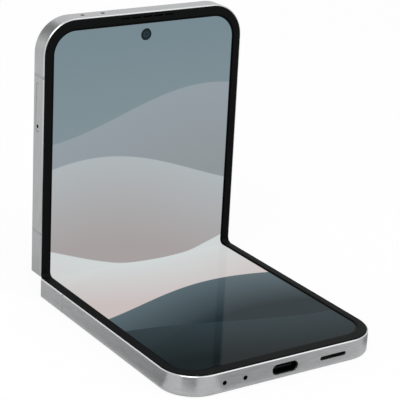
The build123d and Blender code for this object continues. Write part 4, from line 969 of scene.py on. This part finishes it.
for half, lead in cable_leads.items():
    strip = bent_strip(
        f"hinge_flex_cable_{half}",
        half,
        cable_x,
        cable_centre,
        CABLE_BEND - CABLE_THICKNESS / 2,
        CABLE_BEND + CABLE_THICKNESS / 2,
        lead,
    )
    finish_strip(strip, polyimide_laminated, "hinge_flex_cable")
    blend_across_fold(strip, half)

# ---------------------------------------------------------------- floor
# A large matt white board lies under the phone and takes its soft shadow. It glows a little as
# well, so that it looks white and metal and glass mirror it as white.
FLOOR_SIZE = 3.0
FLOOR_DROP = 0.05 * MM
GLOW_SEEN = 0.9
GLOW_MIRRORED = 0.25


def ray_weight(material, seen, mirrored):
    """One value for rays from the camera and another for rays mirrored or through glass."""
    rays = add_node(material, "ShaderNodeLightPath")
    kinds = add_node(
        material,
        "ShaderNodeMath",
        {"operation": "MAXIMUM"},
        {0: rays.outputs["Is Glossy Ray"], 1: rays.outputs["Is Transmission Ray"]},
    )
    mirrored_part = add_node(
        material,
        "ShaderNodeMath",
        {"operation": "MULTIPLY", 1: mirrored},
        {0: kinds.outputs[0]},
    )
    weight = add_node(
        material,
        "ShaderNodeMath",
        {"operation": "MULTIPLY_ADD", 1: seen},
        {0: rays.outputs["Is Camera Ray"], 2: mirrored_part.outputs[0]},
    )
    return weight.outputs[0]


deselect_all()
bpy.ops.mesh.primitive_plane_add(size=FLOOR_SIZE, location=(0, 0, -FLOOR_DROP))
floor = bpy.context.object
floor.name = "studio_floor"
paint_white, shader = start_material("paint_matt_white", {"Base Color": linear("FFFFFF"), "Roughness": 0.9})
output = paint_white.node_tree.nodes["Material Output"]
glow = add_node(paint_white, "ShaderNodeEmission", {"Color": linear("FFFFFF"), "Strength": 1.0})
mix = add_node(
    paint_white,
    "ShaderNodeMixShader",
    links={
        0: ray_weight(paint_white, seen=GLOW_SEEN, mirrored=GLOW_MIRRORED),
        1: shader.outputs[0],
        2: glow.outputs[0],
    },
)
join_sockets(paint_white, mix.outputs[0], output.inputs["Surface"])
floor.data.materials.append(paint_white)

# ---------------------------------------------------------------- cards
# Four grey cards lie on the floor and one hangs behind the phone. Only mirrored rays see them, so
# they give the brushed sides and corners the darker bands of a studio shot.
def card_painted(name, dark, axis, start, end):
    """Matt card whose paint runs out from a grey to white along one direction."""
    material, shader = start_material(name, {"Roughness": 0.9})
    place = add_node(material, "ShaderNodeTexCoord")
    tone = add_node(
        material,
        "ShaderNodeMix",
        {"data_type": "RGBA", 6: linear(dark), 7: linear("FFFFFF")},
        {0: past_height(material, place, axis, start, end)},
    )
    join_sockets(material, tone.outputs[2], shader.inputs["Base Color"])
    return material


CARD_LIFT_MM = 0.3
# For each card its darkest tone, the axis and the two places along it between which the paint runs
# out to white, and its corners, in millimetres. A card of one tone ends before its paint runs out.
CARDS = {
    "side_card": (
        ("969696", "Y", -30, 80),
        ((-37, -30, 0), (-200, -10, 0), (-200, 80, 0), (-37, 80, 0)),
    ),
    "corner_card": (
        ("808080", "Y", 0, 100),
        ((-40, -41, 0), (-32, -44, 0), (-80, -300, 0), (-300, -180, 0)),
    ),
    "front_card": (
        ("A8A8A8", "X", -20, 60),
        ((-21, -43, 0), (100, -300, 0), (300, -300, 0), (60, -43, 0)),
    ),
    "right_card": (
        ("A0A0A0", "Y", 200, 300),
        ((37, -44, 0), (300, -44, 0), (300, 200, 0), (37, 200, 0)),
    ),
    "hung_card": (
        ("060606", "Y", 200, 300),
        ((-78, 130, 92), (-36, 130, 92), (-24, 30, 260), (-90, 30, 260)),
    ),
}
for name, (paint, corners) in CARDS.items():
    mesh = bpy.data.meshes.new(name)
    places = [(x * MM, y * MM, (z + CARD_LIFT_MM) * MM) for x, y, z in corners]
    mesh.from_pydata(places, [], [(0, 1, 2, 3)])
    card = bpy.data.objects.new(name, mesh)
    bpy.context.scene.collection.objects.link(card)
    mesh.materials.append(card_painted(f"paint_{name}", *paint))
    card.visible_camera = False
    card.visible_diffuse = False
    card.visible_shadow = False

# ---------------------------------------------------------------- surround and lamps
# A white surround lights the phone evenly from all sides, and it is mirrored and seen at its full
# strength. Three large soft lamps above add a little direction.
SURROUND_LIT = 0.65
SURROUND_SEEN = 1.0
world = bpy.data.worlds.new("white_surround")
world.use_nodes = True
bpy.context.scene.world = world
background = world.node_tree.nodes["Background"]
background.inputs["Color"].default_value = linear("FFFFFF")
background.inputs["Strength"].default_value = SURROUND_LIT
white = add_node(world, "ShaderNodeBackground", {"Color": linear("FFFFFF"), "Strength": SURROUND_SEEN})
mix = add_node(
    world,
    "ShaderNodeMixShader",
    links={
        0: ray_weight(world, seen=1.0, mirrored=1.0),
        1: background.outputs[0],
        2: white.outputs[0],
    },
)
join_sockets(world, mix.outputs[0], world.node_tree.nodes["World Output"].inputs["Surface"])

# Each lamp's place, size and power, in metres and watts.
LAMPS = {
    "key_lamp": ((-0.5, -0.5, 0.9), 0.7, 4.0),
    "fill_lamp": ((0.5, -0.6, 0.9), 0.8, 1.5),
    "back_lamp": ((-0.3, 0.9, 0.9), 0.8, 1.2),
}
for name, (place, size, power) in LAMPS.items():
    lamp = bpy.data.lights.new(name, "AREA")
    lamp.size = size
    lamp.energy = power
    holder = bpy.data.objects.new(name, lamp)
    bpy.context.scene.collection.objects.link(holder)
    holder.location = place
    holder.rotation_euler = (-holder.location).to_track_quat("-Z", "Y").to_euler()

# ---------------------------------------------------------------- camera
# The camera looks down at the open phone from the front left, so that both inner faces show. A
# long lens keeps the edges nearly parallel.
CAMERA_LENS = 144.51
CAMERA_SENSOR = 36.0
CAMERA_PLACE_MM = (-257.49, -373.24, 205.68)
CAMERA_TURN_DEGREES = (69.9961, -2.8107, -33.0722)
camera = bpy.data.cameras.new("camera")
camera.lens = CAMERA_LENS
camera.sensor_width = CAMERA_SENSOR
camera_object = bpy.data.objects.new("camera", camera)
bpy.context.scene.collection.objects.link(camera_object)
camera_object.location = [value * MM for value in CAMERA_PLACE_MM]
camera_object.rotation_euler = [math.radians(value) for value in CAMERA_TURN_DEGREES]
bpy.context.scene.camera = camera_object
bpy.context.scene.view_settings.view_transform = "Standard"
